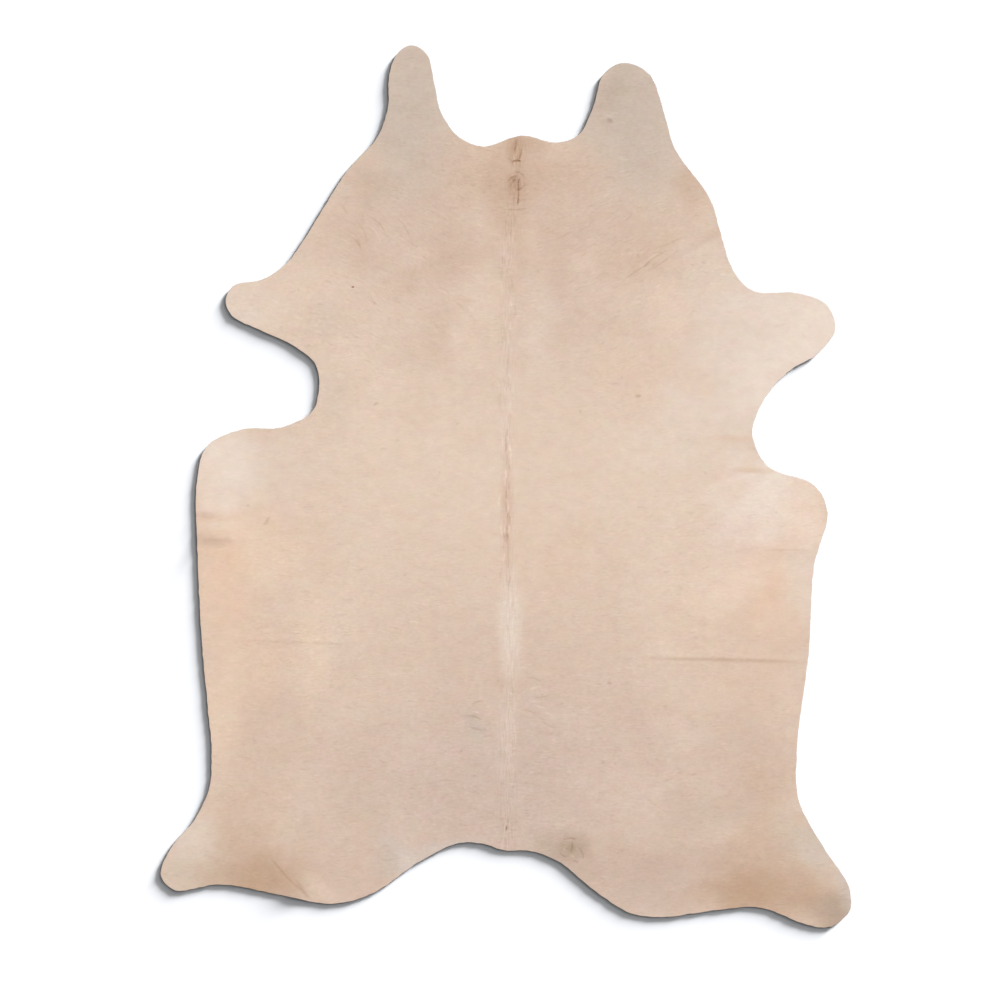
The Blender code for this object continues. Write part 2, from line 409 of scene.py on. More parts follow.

# %% [markdown]
# ## Fine relief: creases, wrinkles and the parting
#
# On top of the folds the hair side has finer relief: the sharp line that a fold leaves when it is pressed
# flat, short wrinkles in the skin of the rump, and the line where the hair parts along the back. Each
# crease is a trough with soft sides, placed one by one. Depth and width are in metres. Shade is how much
# darker the colour is painted along it. Along the lines of the folds and the wrinkles that is painted
# shade, and a negative shade there is a painted highlight, where pressed hair would shine; along the
# strands and locks the hair is drawn darker or paler, and the pale scar is drawn paler. The smallest marks
# are strewn by chance over a rectangle, with half their length in metres, their turn in degrees, and the
# share of them that is light.

# %% Creases and wrinkles
Crease = namedtuple("Crease", "name start end bow depth width shade")
CREASES = (
    # Lines along the folds: painted shade in each fold's crease, and a painted highlight where the shade is
    # negative.
    Crease("left cross line", (-0.722, -0.402), (-0.378, -0.414), 0.002, 0.0009, 0.0070, 0.085),
    Crease("right cross line", (0.340, -0.450), (0.800, -0.460), 0.004, 0.0015, 0.0075, 0.19),
    Crease("right cross line, doubled", (0.520, -0.457), (0.742, -0.463), 0.002, 0.0008, 0.0050, 0.06),
    Crease("right flank line", (0.660, -0.167), (0.802, -0.170), 0.003, 0.0006, 0.0045, 0.07),
    Crease("left flank line", (-0.806, -0.141), (-0.700, -0.148), 0.004, 0.0008, 0.0080, 0.07),
    Crease("left flank line, upper", (-0.800, -0.072), (-0.755, -0.074), 0.002, 0.0006, 0.0070, 0.05),
    Crease("right elbow line, lower", (0.590, 0.040), (0.672, 0.036), 0.002, 0.0005, 0.0060, 0.03),
    Crease("right elbow light line", (0.508, -0.008), (0.668, 0.036), 0.004, 0.0003, 0.0120, -0.03),
    Crease("right shoulder line", (0.572, 0.676), (0.440, 0.600), 0.004, 0.0009, 0.0150, 0.05),
    Crease("left hind line", (-0.618, -0.958), (-0.512, -1.070), -0.006, 0.0010, 0.0050, 0.16),
    Crease("left hind line, end", (-0.548, -1.020), (-0.504, -1.082), -0.003, 0.0006, 0.0070, 0.16),
    Crease("right hind light line", (0.690, -0.972), (0.756, -0.900), 0.003, 0.0004, 0.0080, -0.03),
    # Wrinkles across the neck: painted shade, and a painted highlight in the light one.
    Crease("neck cross wrinkle", (-0.030, 0.728), (0.064, 0.727), -0.006, 0.0005, 0.0030, 0.20),
    Crease("neck cross wrinkle, low", (-0.026, 0.719), (0.012, 0.722), 0.004, 0.0004, 0.0030, -0.18),
    Crease("neck cross wrinkle, upper", (0.030, 0.740), (0.052, 0.744), 0.004, 0.0003, 0.0030, 0.14),
    Crease("neck strand 1", (0.025, 0.906), (0.022, 0.888), 0.003, 0.0003, 0.0030, 0.48),
    Crease("neck strand 2", (0.031, 0.893), (0.024, 0.868), -0.004, 0.0003, 0.0030, 0.40),
    Crease("neck strand 3", (0.039, 0.883), (0.030, 0.848), 0.004, 0.0003, 0.0030, 0.40),
    Crease("neck strand 4", (0.017, 0.847), (0.039, 0.848), 0.002, 0.0003, 0.0032, 0.60),
    Crease("neck strand, light", (0.030, 0.894), (0.025, 0.858), 0.002, 0.0002, 0.0026, -0.26),
    Crease("neck strand, light, low", (0.018, 0.872), (0.020, 0.838), 0.002, 0.0002, 0.0028, -0.18),
    Crease("neck strand, stray", (0.004, 0.858), (0.020, 0.830), 0.004, 0.0002, 0.0028, 0.20),
    Crease("whorl strand 1", (0.004, 0.792), (0.034, 0.807), 0.007, 0.0004, 0.0030, 0.42),
    Crease("whorl strand 2", (0.012, 0.776), (0.030, 0.800), 0.006, 0.0004, 0.0028, 0.34),
    Crease("whorl strand 3", (0.024, 0.772), (0.048, 0.790), -0.006, 0.0004, 0.0028, 0.34),
    Crease("whorl strand 4", (0.036, 0.806), (0.034, 0.766), -0.003, 0.0004, 0.0030, 0.62),
    Crease("whorl strand 5", (0.020, 0.818), (0.048, 0.806), 0.006, 0.0003, 0.0028, 0.30),
    Crease("whorl strand, light", (0.016, 0.796), (0.027, 0.764), -0.004, 0.0003, 0.0028, -0.34),
    Crease("whorl strand, light, upper", (0.012, 0.808), (0.044, 0.814), 0.004, 0.0003, 0.0026, -0.28),
    Crease("whorl strand, light, right", (0.042, 0.798), (0.040, 0.764), 0.003, 0.0003, 0.0026, -0.26),
    Crease("neck strand 5", (0.033, 0.770), (0.028, 0.731), 0.002, 0.0005, 0.0030, 0.60),
    Crease("neck strand 6", (0.016, 0.720), (0.020, 0.672), 0.003, 0.0002, 0.0030, 0.16),
    Crease("neck strand 7", (0.001, 0.700), (0.004, 0.640), -0.003, 0.0002, 0.0030, 0.12),
    Crease("left shoulder lock 1", (-0.402, 0.700), (-0.362, 0.632), 0.010, 0.0003, 0.0030, 0.15),
    Crease("left shoulder lock 2", (-0.365, 0.706), (-0.310, 0.650), 0.010, 0.0003, 0.0030, 0.15),
    Crease("left shoulder lock 3", (-0.408, 0.650), (-0.378, 0.612), 0.008, 0.0003, 0.0030, 0.14),
    Crease("left shoulder lock 4", (-0.296, 0.706), (-0.250, 0.640), 0.010, 0.0003, 0.0030, 0.12),
    Crease("left shoulder lock 5", (-0.262, 0.640), (-0.208, 0.628), -0.006, 0.0002, 0.0030, 0.12),
    Crease("left shoulder lock, light", (-0.376, 0.700), (-0.322, 0.620), 0.010, 0.0002, 0.0030, -0.10),
    Crease("right shoulder lock 1", (0.352, 0.560), (0.420, 0.612), 0.008, 0.0003, 0.0030, 0.17),
    Crease("right shoulder lock 2", (0.356, 0.556), (0.462, 0.628), -0.006, 0.0003, 0.0030, 0.15),
    Crease("right shoulder lock 3", (0.300, 0.530), (0.380, 0.584), 0.004, 0.0002, 0.0030, 0.16),
    Crease("right shoulder lock 4", (0.270, 0.598), (0.372, 0.610), 0.004, 0.0002, 0.0030, -0.12),
    Crease("right shoulder lock 5", (0.388, 0.622), (0.462, 0.652), -0.004, 0.0002, 0.0030, 0.14),
    Crease("right shoulder lock, light", (0.344, 0.562), (0.398, 0.610), 0.005, 0.0002, 0.0030, -0.10),
    # Wrinkles in the skin of the rump: painted shade.
    Crease("rump wrinkle 1", (0.350, -0.790), (0.430, -0.853), -0.008, 0.0005, 0.0045, 0.05),
    Crease("rump wrinkle 2", (0.428, -0.853), (0.512, -0.828), -0.006, 0.0005, 0.0045, 0.05),
    Crease("rump wrinkle 3", (0.520, -0.826), (0.612, -0.802), 0.005, 0.0005, 0.0045, 0.05),
    Crease("rump wrinkle 4", (0.618, -0.800), (0.728, -0.776), -0.005, 0.0005, 0.0045, 0.05),
    Crease("rump wrinkle 5", (0.548, -0.782), (0.582, -0.798), 0.010, 0.0006, 0.0040, 0.07),
    Crease("rump wrinkle 6", (0.622, -0.790), (0.660, -0.806), 0.012, 0.0006, 0.0040, 0.07),
    Crease("pale scar", (-0.682, -0.642), (-0.512, -0.648), -0.016, 0.0004, 0.0040, -0.04),
    # Wrinkles on the back: painted shade in the dark ones, painted highlights in the light ones.
    Crease("back wrinkle 1", (0.050, -0.500), (0.094, -0.512), 0.006, 0.0005, 0.0032, 0.15),
    Crease("back wrinkle 2", (0.066, -0.548), (0.118, -0.540), -0.006, 0.0005, 0.0032, 0.18),
    Crease("back wrinkle 3", (0.036, -0.582), (0.082, -0.596), 0.004, 0.0005, 0.0032, 0.15),
    Crease("back wrinkle 4", (0.092, -0.610), (0.136, -0.628), -0.005, 0.0005, 0.0032, 0.16),
    Crease("left back wrinkle 1", (-0.108, -0.598), (-0.062, -0.610), 0.005, 0.0006, 0.0034, 0.24),
    Crease("left back wrinkle 2", (-0.098, -0.624), (-0.050, -0.634), -0.004, 0.0006, 0.0034, 0.20),
    Crease("left back wrinkle 3", (-0.090, -0.570), (-0.058, -0.560), 0.004, 0.0005, 0.0032, 0.18),
    Crease("back wrinkle, light 1", (0.060, -0.530), (0.096, -0.524), 0.004, 0.0004, 0.0030, -0.16),
    Crease("back wrinkle, light 2", (0.070, -0.566), (0.112, -0.576), -0.004, 0.0004, 0.0030, -0.16),
    Crease("back wrinkle, light 3", (0.100, -0.590), (0.130, -0.606), 0.004, 0.0004, 0.0030, -0.14),
    Crease("left back wrinkle, light", (-0.094, -0.588), (-0.066, -0.592), 0.003, 0.0004, 0.0030, -0.16),
    Crease("tail whorl stroke 1", (0.146, -0.922), (0.186, -0.921), 0.005, 0.0004, 0.0030, 0.34),
    Crease("tail whorl stroke 2", (0.171, -0.922), (0.168, -0.956), 0.003, 0.0004, 0.0030, 0.30),
    Crease("tail whorl stroke 3", (0.188, -0.940), (0.201, -0.974), 0.005, 0.0004, 0.0030, 0.28),
    Crease("tail whorl stroke 4", (0.140, -0.952), (0.160, -0.966), -0.003, 0.0004, 0.0030, 0.26),
    Crease("tail whorl stroke 5", (0.170, -0.976), (0.192, -0.984), 0.003, 0.0004, 0.0030, 0.24),
    Crease("tail whorl fleck 1", (0.164, -0.962), (0.178, -0.968), 0.002, 0.0003, 0.0030, -0.34),
    Crease("tail whorl fleck 2", (0.148, -0.942), (0.160, -0.946), -0.002, 0.0003, 0.0028, -0.26),
    Crease("tail whorl fleck 3", (0.180, -0.934), (0.184, -0.952), 0.002, 0.0003, 0.0028, -0.24),
    Crease("tail root strand 1", (0.004, -0.862), (0.002, -0.884), 0.002, 0.0003, 0.0028, 0.14),
    Crease("tail root strand 2", (0.010, -0.880), (0.016, -0.924), 0.002, 0.0003, 0.0028, 0.12),
    Crease("tail root strand, light", (-0.006, -0.852), (-0.004, -0.900), 0.002, 0.0003, 0.0028, -0.12),
)

Strewn = namedtuple("Strewn", "name count seed across along half turn shade light")
# The strewn wrinkles are painted shade, and their light ones painted highlights; the locks and strands are
# drawn darker or paler.
STREWN = (
    Strewn("rump wrinkle", 80, 7, (-0.66, 0.66), (-0.98, -0.42), (0.006, 0.018), (-50, 50), 0.110, 0.3),
    Strewn("side wrinkle", 40, 8, (-0.62, 0.66), (-0.42, 0.30), (0.005, 0.014), (-35, 35), 0.050, 0.4),
    Strewn("left lock", 30, 9, (-0.42, -0.06), (0.44, 0.80), (0.008, 0.022), (-56, 6), 0.125, 0.4),
    Strewn("right lock", 30, 10, (0.10, 0.46), (0.44, 0.80), (0.008, 0.022), (-6, 48), 0.125, 0.4),
    Strewn("neck lock", 26, 12, (-0.26, 0.34), (0.70, 0.88), (0.008, 0.020), (-12, 12), 0.110, 0.4),
    Strewn("parting strand", 50, 13, (-0.010, 0.010), (-0.26, 0.14), (0.008, 0.026), (80, 100), 0.20, 0.45),
    Strewn("upper strand", 44, 14, (-0.014, 0.018), (0.14, 0.70), (0.010, 0.026), (82, 98), 0.12, 0.45),
    Strewn("loin strand", 34, 15, (-0.010, 0.026), (-0.90, -0.30), (0.010, 0.026), (80, 100), 0.10, 0.50),
)
STREWN_BOW = 0.35  # of half its length, the most that one bows
STREWN_WEAKEST = 0.4  # of the full depth and shade
STREWN_DEPTH = 0.0004
STREWN_WIDTH = 0.0032


def strewn_wrinkles(kind):
    """Short wrinkles or locks, strewn by chance over a rectangle. Each has its own length and turn, and
    this share of them is light and not dark."""
    chance = np.random.default_rng(kind.seed)
    across = chance.uniform(*kind.across, kind.count)
    along = chance.uniform(*kind.along, kind.count)
    half = chance.uniform(*kind.half, kind.count)
    turn = np.radians(chance.uniform(*kind.turn, kind.count))
    bow = chance.uniform(-STREWN_BOW, STREWN_BOW, kind.count) * half
    strength = chance.uniform(STREWN_WEAKEST, 1.0, kind.count)
    sign = np.where(chance.uniform(size=kind.count) < kind.light, -1, 1)
    middle = np.column_stack((across, along))
    reach = half[:, None] * np.column_stack((np.cos(turn), np.sin(turn)))
    starts, ends = (middle - reach).tolist(), (middle + reach).tolist()
    rows = zip(starts, ends, bow, STREWN_DEPTH * strength, kind.shade * sign * strength)
    return [
        Crease(f"{kind.name} {number}", start, end, bend, depth, STREWN_WIDTH, shade)
        for number, (start, end, bend, depth, shade) in enumerate(rows, 1)
    ]


WRINKLES = list(CREASES) + [wrinkle for kind in STREWN for wrinkle in strewn_wrinkles(kind)]
CREASE_FADE = 0.25  # of a crease's length, over which it runs out at each end


def crease_marks(places):
    """The depth of all creases together at each place, and the shade that they paint into the colour."""
    depth = np.zeros(len(places))
    shade = np.zeros(len(places))
    for crease in WRINKLES:
        share, off = along_and_off(places, crease)
        mark = ease(np.minimum(share, 1 - share) / CREASE_FADE) * ridge(off, crease.width)
        depth += crease.depth * mark
        shade += crease.shade * mark
    return depth, shade


print("creases and wrinkles:", len(WRINKLES))

# %% [markdown]
# The spine has its own relief. The hair parts there in a narrow furrow, deep at the neck and again over
# the middle of the back, and broken up along its way. Near the neck it turns in a whorl, a small rosette
# where the locks lie round a centre. Over the whole hide the coat is a little uneven in loft. Both the
# breaks and the loft come from seeded noise: random levels on a square grid, eased from one to the next.

# %% Noise, spine, whorl and loft
Parting = namedtuple("Parting", "along furrow")
PARTINGS = (
    Parting(0.905, 0.60),
    Parting(0.860, 1.00),
    Parting(0.835, 0.30),
    Parting(0.770, 0.80),
    Parting(0.740, 0.70),
    Parting(0.700, 0.15),
    Parting(0.450, 0.20),
    Parting(0.250, 0.20),
    Parting(0.130, 0.55),
    Parting(0.020, 0.80),
    Parting(-0.110, 1.00),
    Parting(-0.170, 0.90),
    Parting(-0.240, 0.45),
    Parting(-0.300, 0.10),
    Parting(-0.900, 0.05),
)
FURROW_DEPTH = 0.0008
FURROW_WIDTH = 0.0034
FURROW_LEVEL = 0.55  # of its depth, on average along its way
FURROW_UNEVEN = 0.65  # and how far that goes up and down
FURROW_LUMP = 0.016
FURROW_SEED = 31
SWINGS = ((0.0022, 0.061, 0.0), (0.0014, 0.023, 1.0))  # the parting's weave: reach, length, start
WHORL = (0.024, 0.802)
WHORL_RADIUS = 0.034
WHORL_HEIGHT = 0.0006
WHORL_ARMS = 5
WHORL_TWIST = 150.0  # radians a metre
WHORL_EYE = 0.008  # the arms start at the centre and are whole this far out
LOFT_HEIGHT = 0.00030
LOFT_LUMP = 0.09
LOFT_SEED = 41
CLOUD_TURNS = (11, 48, 85)  # degrees, so that the sizes of lumps don't line up
GRID = 512  # random levels each way
GRID_START = 256.37  # cells, so that the hide lies about the grid's middle


def lumps(places, size, seed):
    """Seeded noise from -1 to 1 with lumps of this size, or of this width and length.

    Each place lies in a cell of a grid. The random levels at the cell's four corners are mixed by how far
    across the cell the place is, eased so that the slope is level at each corner.
    """
    levels = np.random.default_rng(seed).uniform(-1, 1, (GRID, GRID))
    cells = places / np.array(size) + GRID_START
    corner = np.floor(cells).astype(int)
    column, row = corner.T % (GRID - 1)
    right, up = ease(cells - corner).T
    near = levels[column, row] * (1 - right) + levels[column + 1, row] * right
    far = levels[column, row + 1] * (1 - right) + levels[column + 1, row + 1] * right
    return near * (1 - up) + far * up


def turned(places, degrees):
    """The places, turned anticlockwise about the origin."""
    turn = math.radians(degrees)
    wheel = np.array(((math.cos(turn), math.sin(turn)), (-math.sin(turn), math.cos(turn))))
    return places @ wheel


def cloud(places, size, seed):
    """Lumps of this size and of half and a quarter of it, each turned and half as strong as the last."""
    return sum(
        lumps(turned(places, turn), size / 2**halved, seed + halved) / 2**halved
        for halved, turn in enumerate(CLOUD_TURNS)
    )


def spine_wander(along):
    """How the parting weaves to and fro on its way along the back: the sum of its sine swings."""
    return sum(reach * np.sin(along / length + start) for reach, length, start in SWINGS)


def parting_furrow(places):
    """How deep the parting's furrow is at each place: 1 at its deepest, broken up along its way."""
    across, along = places.T
    table = np.array(PARTINGS[::-1])
    depth = np.interp(along, table[:, 0], table[:, 1])
    broken = lumps(np.column_stack((np.zeros_like(along), along)), FURROW_LUMP, FURROW_SEED)
    patchy = (FURROW_LEVEL + FURROW_UNEVEN * broken).clip(0, 1)
    off = across - spine_across(along) - spine_wander(along)
    return depth * patchy * ridge(off, FURROW_WIDTH)


def whorl_relief(places):
    """Arms of hair that spiral out of a centre: a cosine of the angle plus a turn with the radius."""
    from_centre = places - np.array(WHORL)
    radius = np.linalg.norm(from_centre, axis=1)
    angle = np.arctan2(from_centre[:, 1], from_centre[:, 0])
    arms = np.cos(WHORL_ARMS * angle + WHORL_TWIST * radius)
    return WHORL_HEIGHT * arms * ease(1 - radius / WHORL_RADIUS) * ease(radius / WHORL_EYE)


def relief(places):
    """All the fine relief of the hair side, in metres above the plain thickness."""
    depth, _ = crease_marks(places)
    loft = LOFT_HEIGHT * cloud(places, LOFT_LUMP, LOFT_SEED)
    return loft + whorl_relief(places) - FURROW_DEPTH * parting_furrow(places) - depth


# %% [markdown]
# ## Tones of the coat
#
# A pale hide is not one colour. It is greyer on the neck, browner along the parting, mauve on the
# shoulders, cream on the sides, pinker and greyer over the rump, orange tan on the flanks and hocks, and
# bone white on the loose corners behind the elbows. Each is a named tone, laid on as a soft ellipse: full
# in the middle, and fading to nothing at its rim. A few of them are painted shade: the bands along the
# ripples of the left flank and the right elbow, and along the right shoulder crease. Places and half
# sizes are in metres, and the turn is in degrees.

# %% Tones
TONES = {
    "base": seen_as(221, 197, 178),
    "cream": seen_as(229, 206, 186),
    "bone": seen_as(232, 213, 198),
    "ivory": seen_as(239, 221, 206),
    "peach": seen_as(239, 213, 194),
    "pink": seen_as(231, 206, 192),
    "mauve": seen_as(212, 186, 168),
    "grey": seen_as(203, 185, 170),
    "ash": seen_as(209, 194, 183),
    "slate": seen_as(208, 184, 169),
    "tan": seen_as(225, 196, 174),
    "orange": seen_as(231, 199, 174),
    "apricot": seen_as(238, 210, 184),
    "rose": seen_as(212, 176, 156),
    "brown": seen_as(207, 177, 155),
    "umber": seen_as(194, 161, 135),
    "chestnut": seen_as(172, 132, 102),
    "dusk": seen_as(187, 164, 145),
    "fawn": seen_as(211, 191, 172),
}

Patch = namedtuple("Patch", "name tone across along half_across half_along turn strength")
PATCHES = (
    Patch("middle, left", "cream", -0.36, 0.20, 0.34, 0.42, 0, 0.60),
    Patch("middle", "cream", -0.08, 0.02, 0.50, 0.36, 0, 0.70),
    Patch("middle, right", "cream", 0.38, 0.05, 0.36, 0.36, 0, 0.70),
    Patch("lower left side", "cream", -0.46, -0.24, 0.20, 0.26, 0, 0.45),
    Patch("lower right side", "cream", 0.46, -0.20, 0.24, 0.26, 0, 0.65),
    Patch("left of the middle", "tan", -0.560, -0.120, 0.160, 0.240, 0, 0.40),
    Patch("right of the middle", "tan", 0.10, -0.20, 0.24, 0.16, 0, 0.40),
    Patch("belly side, right", "tan", 0.52, -0.34, 0.16, 0.20, 0, 0.30),
    Patch("left shoulder", "mauve", -0.26, 0.68, 0.28, 0.24, 0, 0.78),
    Patch("left shoulder, inner", "mauve", -0.16, 0.58, 0.16, 0.14, 20, 0.55),
    Patch("left shoulder, outer", "brown", -0.40, 0.65, 0.12, 0.09, -40, 0.25),
    Patch("left shoulder, low", "mauve", -0.24, 0.38, 0.16, 0.12, 0, 0.40),
    Patch("right shoulder", "mauve", 0.20, 0.70, 0.24, 0.24, 0, 0.75),
    Patch("right shoulder, outer", "brown", 0.38, 0.63, 0.19, 0.15, 30, 0.40),
    Patch("right shoulder, inner", "mauve", 0.16, 0.48, 0.18, 0.17, 0, 0.55),
    Patch("right shoulder, low", "tan", 0.36, 0.30, 0.17, 0.12, 0, 0.45),
    Patch("left neck flap", "grey", -0.25, 1.02, 0.17, 0.32, 0, 0.95),
    Patch("left neck", "grey", -0.260, 0.860, 0.180, 0.160, 0, 0.38),
    Patch("right neck flap", "grey", 0.31, 1.02, 0.20, 0.28, 0, 1.00),
    Patch("right neck", "grey", 0.38, 0.87, 0.19, 0.18, 0, 0.60),
    Patch("right neck edge", "umber", 0.480, 0.775, 0.085, 0.085, 30, 0.45),
    Patch("left neck side", "brown", -0.12, 0.82, 0.15, 0.13, 0, 0.50),
    Patch("right neck side", "brown", 0.14, 0.83, 0.15, 0.12, 0, 0.45),
    Patch("neck parting, wide", "brown", 0.022, 0.800, 0.120, 0.200, 0, 0.75),
    Patch("neck parting", "umber", 0.026, 0.876, 0.034, 0.060, 0, 0.85),
    Patch("whorl", "chestnut", 0.026, 0.786, 0.036, 0.052, 0, 0.52),
    Patch("below the whorl", "brown", 0.010, 0.62, 0.09, 0.18, 0, 0.50),
    Patch("pale column, left", "cream", -0.080, 0.440, 0.070, 0.240, 0, 0.50),
    Patch("pale column, right", "bone", 0.090, 0.43, 0.080, 0.22, 0, 0.50),
    Patch("left fore shank", "bone", -0.68, 0.48, 0.18, 0.12, 0, 0.60),
    Patch("left fore leg", "cream", -0.54, 0.52, 0.18, 0.12, 30, 0.55),
    Patch("left fore leg, shadowed", "grey", -0.47, 0.42, 0.09, 0.07, 0, 0.22),
    Patch("left elbow", "grey", -0.46, 0.22, 0.07, 0.12, 0, 0.25),
    Patch("right fore shank", "bone", 0.74, 0.42, 0.24, 0.19, 0, 1.00),
    Patch("right fore shank, tip", "ivory", 0.800, 0.400, 0.160, 0.140, 0, 0.70),
    Patch("right fore leg", "bone", 0.580, 0.440, 0.180, 0.220, 0, 0.52),
    Patch("right elbow", "bone", 0.58, 0.24, 0.22, 0.20, 0, 0.75),
    Patch("right elbow, inner", "bone", 0.42, 0.10, 0.20, 0.14, 0, 0.35),
    Patch("left belly corner", "ivory", -0.74, 0.05, 0.17, 0.17, 0, 0.85),
    Patch("left belly corner, inner", "bone", -0.600, 0.020, 0.160, 0.160, 0, 0.25),
    Patch("right belly corner", "ivory", 0.66, -0.02, 0.21, 0.15, 0, 0.95),
    Patch("right belly corner, inner", "pink", 0.60, -0.13, 0.16, 0.12, 0, 0.65),
    Patch("right belly rim", "peach", 0.80, -0.08, 0.09, 0.16, 10, 0.90),
    Patch("left flank", "orange", -0.75, -0.22, 0.13, 0.32, 0, 0.95),
    Patch("left flank, low", "tan", -0.68, -0.44, 0.16, 0.24, 0, 0.55),
    # These three rows lie on the left flank's two ripples: painted shade along their crests, and a paler
    # strip between them.
    Patch("left flank band", "brown", -0.780, -0.141, 0.090, 0.024, -4, 0.62),
    Patch("left flank band, upper", "brown", -0.785, -0.073, 0.045, 0.012, 0, 0.35),
    Patch("left flank above the band", "bone", -0.74, -0.100, 0.09, 0.020, 0, 0.50),
    Patch("left rear flank", "brown", -0.66, -0.68, 0.14, 0.28, 0, 0.35),
    Patch("left rear flank, wide", "mauve", -0.58, -0.64, 0.18, 0.24, 0, 0.40),
    Patch("right flank", "orange", 0.70, -0.26, 0.16, 0.24, 0, 0.60),
    Patch("right flank, light", "peach", 0.70, -0.22, 0.14, 0.18, 0, 0.30),
    Patch("right flank, streak", "orange", 0.690, -0.310, 0.055, 0.170, -16, 0.60),
    Patch("right flank, low", "tan", 0.66, -0.52, 0.18, 0.22, 0, 0.60),
    Patch("right flank, pale rim", "bone", 0.800, -0.24, 0.09, 0.13, 0, 0.60),
    Patch("right rear flank", "mauve", 0.62, -0.70, 0.20, 0.22, 0, 0.85),
    Patch("right rear flank, edge", "brown", 0.68, -0.78, 0.12, 0.12, 0, 0.45),
    Patch("rump", "slate", 0.00, -0.76, 0.66, 0.36, 0, 0.95),
    Patch("loin", "mauve", 0.02, -0.46, 0.52, 0.18, 0, 0.50),
    Patch("left rump", "mauve", -0.38, -0.72, 0.20, 0.18, 0, 0.40),
    Patch("right rump", "mauve", 0.33, -0.66, 0.26, 0.20, 0, 0.45),
    Patch("right rump, pink", "pink", 0.30, -0.78, 0.18, 0.10, 0, 0.20),
    Patch("right rump, low", "slate", 0.36, -1.02, 0.34, 0.16, 0, 1.00),
    Patch("left rump, low", "mauve", -0.42, -1.00, 0.24, 0.16, 0, 0.90),
    Patch("right of the tail", "dusk", 0.168, -0.946, 0.062, 0.056, 0, 1.00),
    Patch("tail", "slate", 0.01, -0.90, 0.22, 0.12, 0, 0.60),
    Patch("left of the tail", "ash", -0.25, -0.98, 0.17, 0.09, -25, 0.95),
    Patch("left back rough patch", "grey", -0.080, -0.614, 0.050, 0.050, 0, 0.80),
    Patch("loin stripe", "bone", 0.012, -0.36, 0.046, 0.20, 0, 0.80),
    Patch("rump stripe", "bone", 0.002, -0.66, 0.040, 0.16, 0, 0.30),
    Patch("back parting, dark", "rose", 0.002, -0.050, 0.024, 0.200, 0, 0.50),
    Patch("back parting, pink", "pink", 0.000, 0.20, 0.030, 0.22, 0, 0.30),
    Patch("left hock", "umber", -0.665, -1.020, 0.230, 0.140, -8, 0.95),
    Patch("left hock, upper", "brown", -0.70, -0.90, 0.14, 0.14, 0, 0.45),
    Patch("left hind shank", "fawn", -0.840, -0.980, 0.150, 0.140, 0, 0.80),
    Patch("beside the left hind fold", "cream", -0.485, -1.045, 0.085, 0.028, -44, 0.45),
    Patch("right hock", "umber", 0.650, -1.035, 0.200, 0.165, 0, 0.95),
    Patch("right hock, upper", "brown", 0.675, -0.915, 0.140, 0.140, 0, 0.60),
    Patch("right hock to shank", "umber", 0.800, -1.105, 0.160, 0.095, -10, 0.75),
    Patch("right hind leg", "fawn", 0.785, -0.93, 0.10, 0.15, 30, 0.80),
    Patch("right hind shank", "dusk", 0.850, -1.120, 0.140, 0.110, 0, 1.00),
    Patch("right hind shank, rim", "ash", 0.895, -1.05, 0.045, 0.12, 15, 0.70),
    Patch("left shoulder, brown", "brown", -0.140, 0.600, 0.110, 0.140, 0, 0.40),
    Patch("right rump, warm", "umber", 0.34, -0.98, 0.26, 0.14, 0, 0.22),
    Patch("tail bay, pale rim", "ash", -0.150, -0.940, 0.130, 0.030, 8, 0.75),
    Patch("left of the tail, pale", "bone", -0.24, -0.97, 0.10, 0.05, -20, 0.30),
    Patch("left flank, low light", "orange", -0.66, -0.46, 0.10, 0.16, 0, 0.35),
    Patch("left belly, lower part", "bone", -0.72, -0.02, 0.12, 0.08, 0, 0.35),
    Patch("neck, pink", "pink", 0.004, 0.610, 0.030, 0.070, 0, 0.35),
    Patch("neck, cream right", "cream", 0.070, 0.650, 0.050, 0.060, 0, 0.35),
    Patch("neck top", "umber", 0.060, 0.895, 0.080, 0.040, 0, 0.50),
    Patch("neck parting, widest", "umber", 0.030, 0.790, 0.150, 0.140, 0, 0.20),
    Patch("left neck, outer edge", "dusk", -0.380, 0.790, 0.080, 0.100, -40, 0.32),
    Patch("right neck flap, inner", "dusk", 0.270, 1.040, 0.050, 0.110, -15, 0.40),
    Patch("right shoulder, edge light", "bone", 0.490, 0.630, 0.075, 0.065, 30, 0.40),
    # Painted shade along the right shoulder crease.
    Patch("right shoulder band", "mauve", 0.535, 0.655, 0.110, 0.024, 28, 0.45),
    Patch("left shoulder, pale spot", "cream", -0.230, 0.600, 0.080, 0.055, 0, 0.40),
    Patch("right of the spine, warm", "brown", 0.120, 0.580, 0.110, 0.230, 0, 0.30),
    Patch("left of the pale column", "brown", -0.165, 0.420, 0.060, 0.110, 0, 0.25),
    Patch("right elbow rim", "ivory", 0.690, 0.270, 0.125, 0.110, 45, 0.65),
    Patch("right belly, pale", "ivory", 0.720, -0.060, 0.110, 0.130, 0, 0.40),
    Patch("right flank, pale inner", "peach", 0.590, -0.250, 0.150, 0.080, 20, 0.50),
    Patch("left side, warm", "apricot", -0.640, -0.140, 0.160, 0.160, 0, 0.50),
    Patch("left flank rim", "apricot", -0.750, -0.560, 0.070, 0.260, 0, 0.42),
    Patch("left side, warm strip", "apricot", -0.520, -0.440, 0.080, 0.220, 0, 0.35),
    Patch("right rump, pink spot", "pink", 0.430, -0.640, 0.090, 0.070, 0, 0.28),
    Patch("right rear flank, low", "dusk", 0.510, -0.850, 0.200, 0.085, 5, 0.30),
    Patch("left hind shank, pale", "bone", -0.825, -0.930, 0.110, 0.065, 45, 0.55),
    Patch("tail bay, right rim", "dusk", 0.130, -0.955, 0.150, 0.065, -28, 0.60),
    Patch("left of the tail, outer", "dusk", -0.320, -0.980, 0.080, 0.060, 30, 0.22),
    Patch("right hind leg, cool", "ash", 0.790, -0.930, 0.060, 0.070, 0, 0.45),
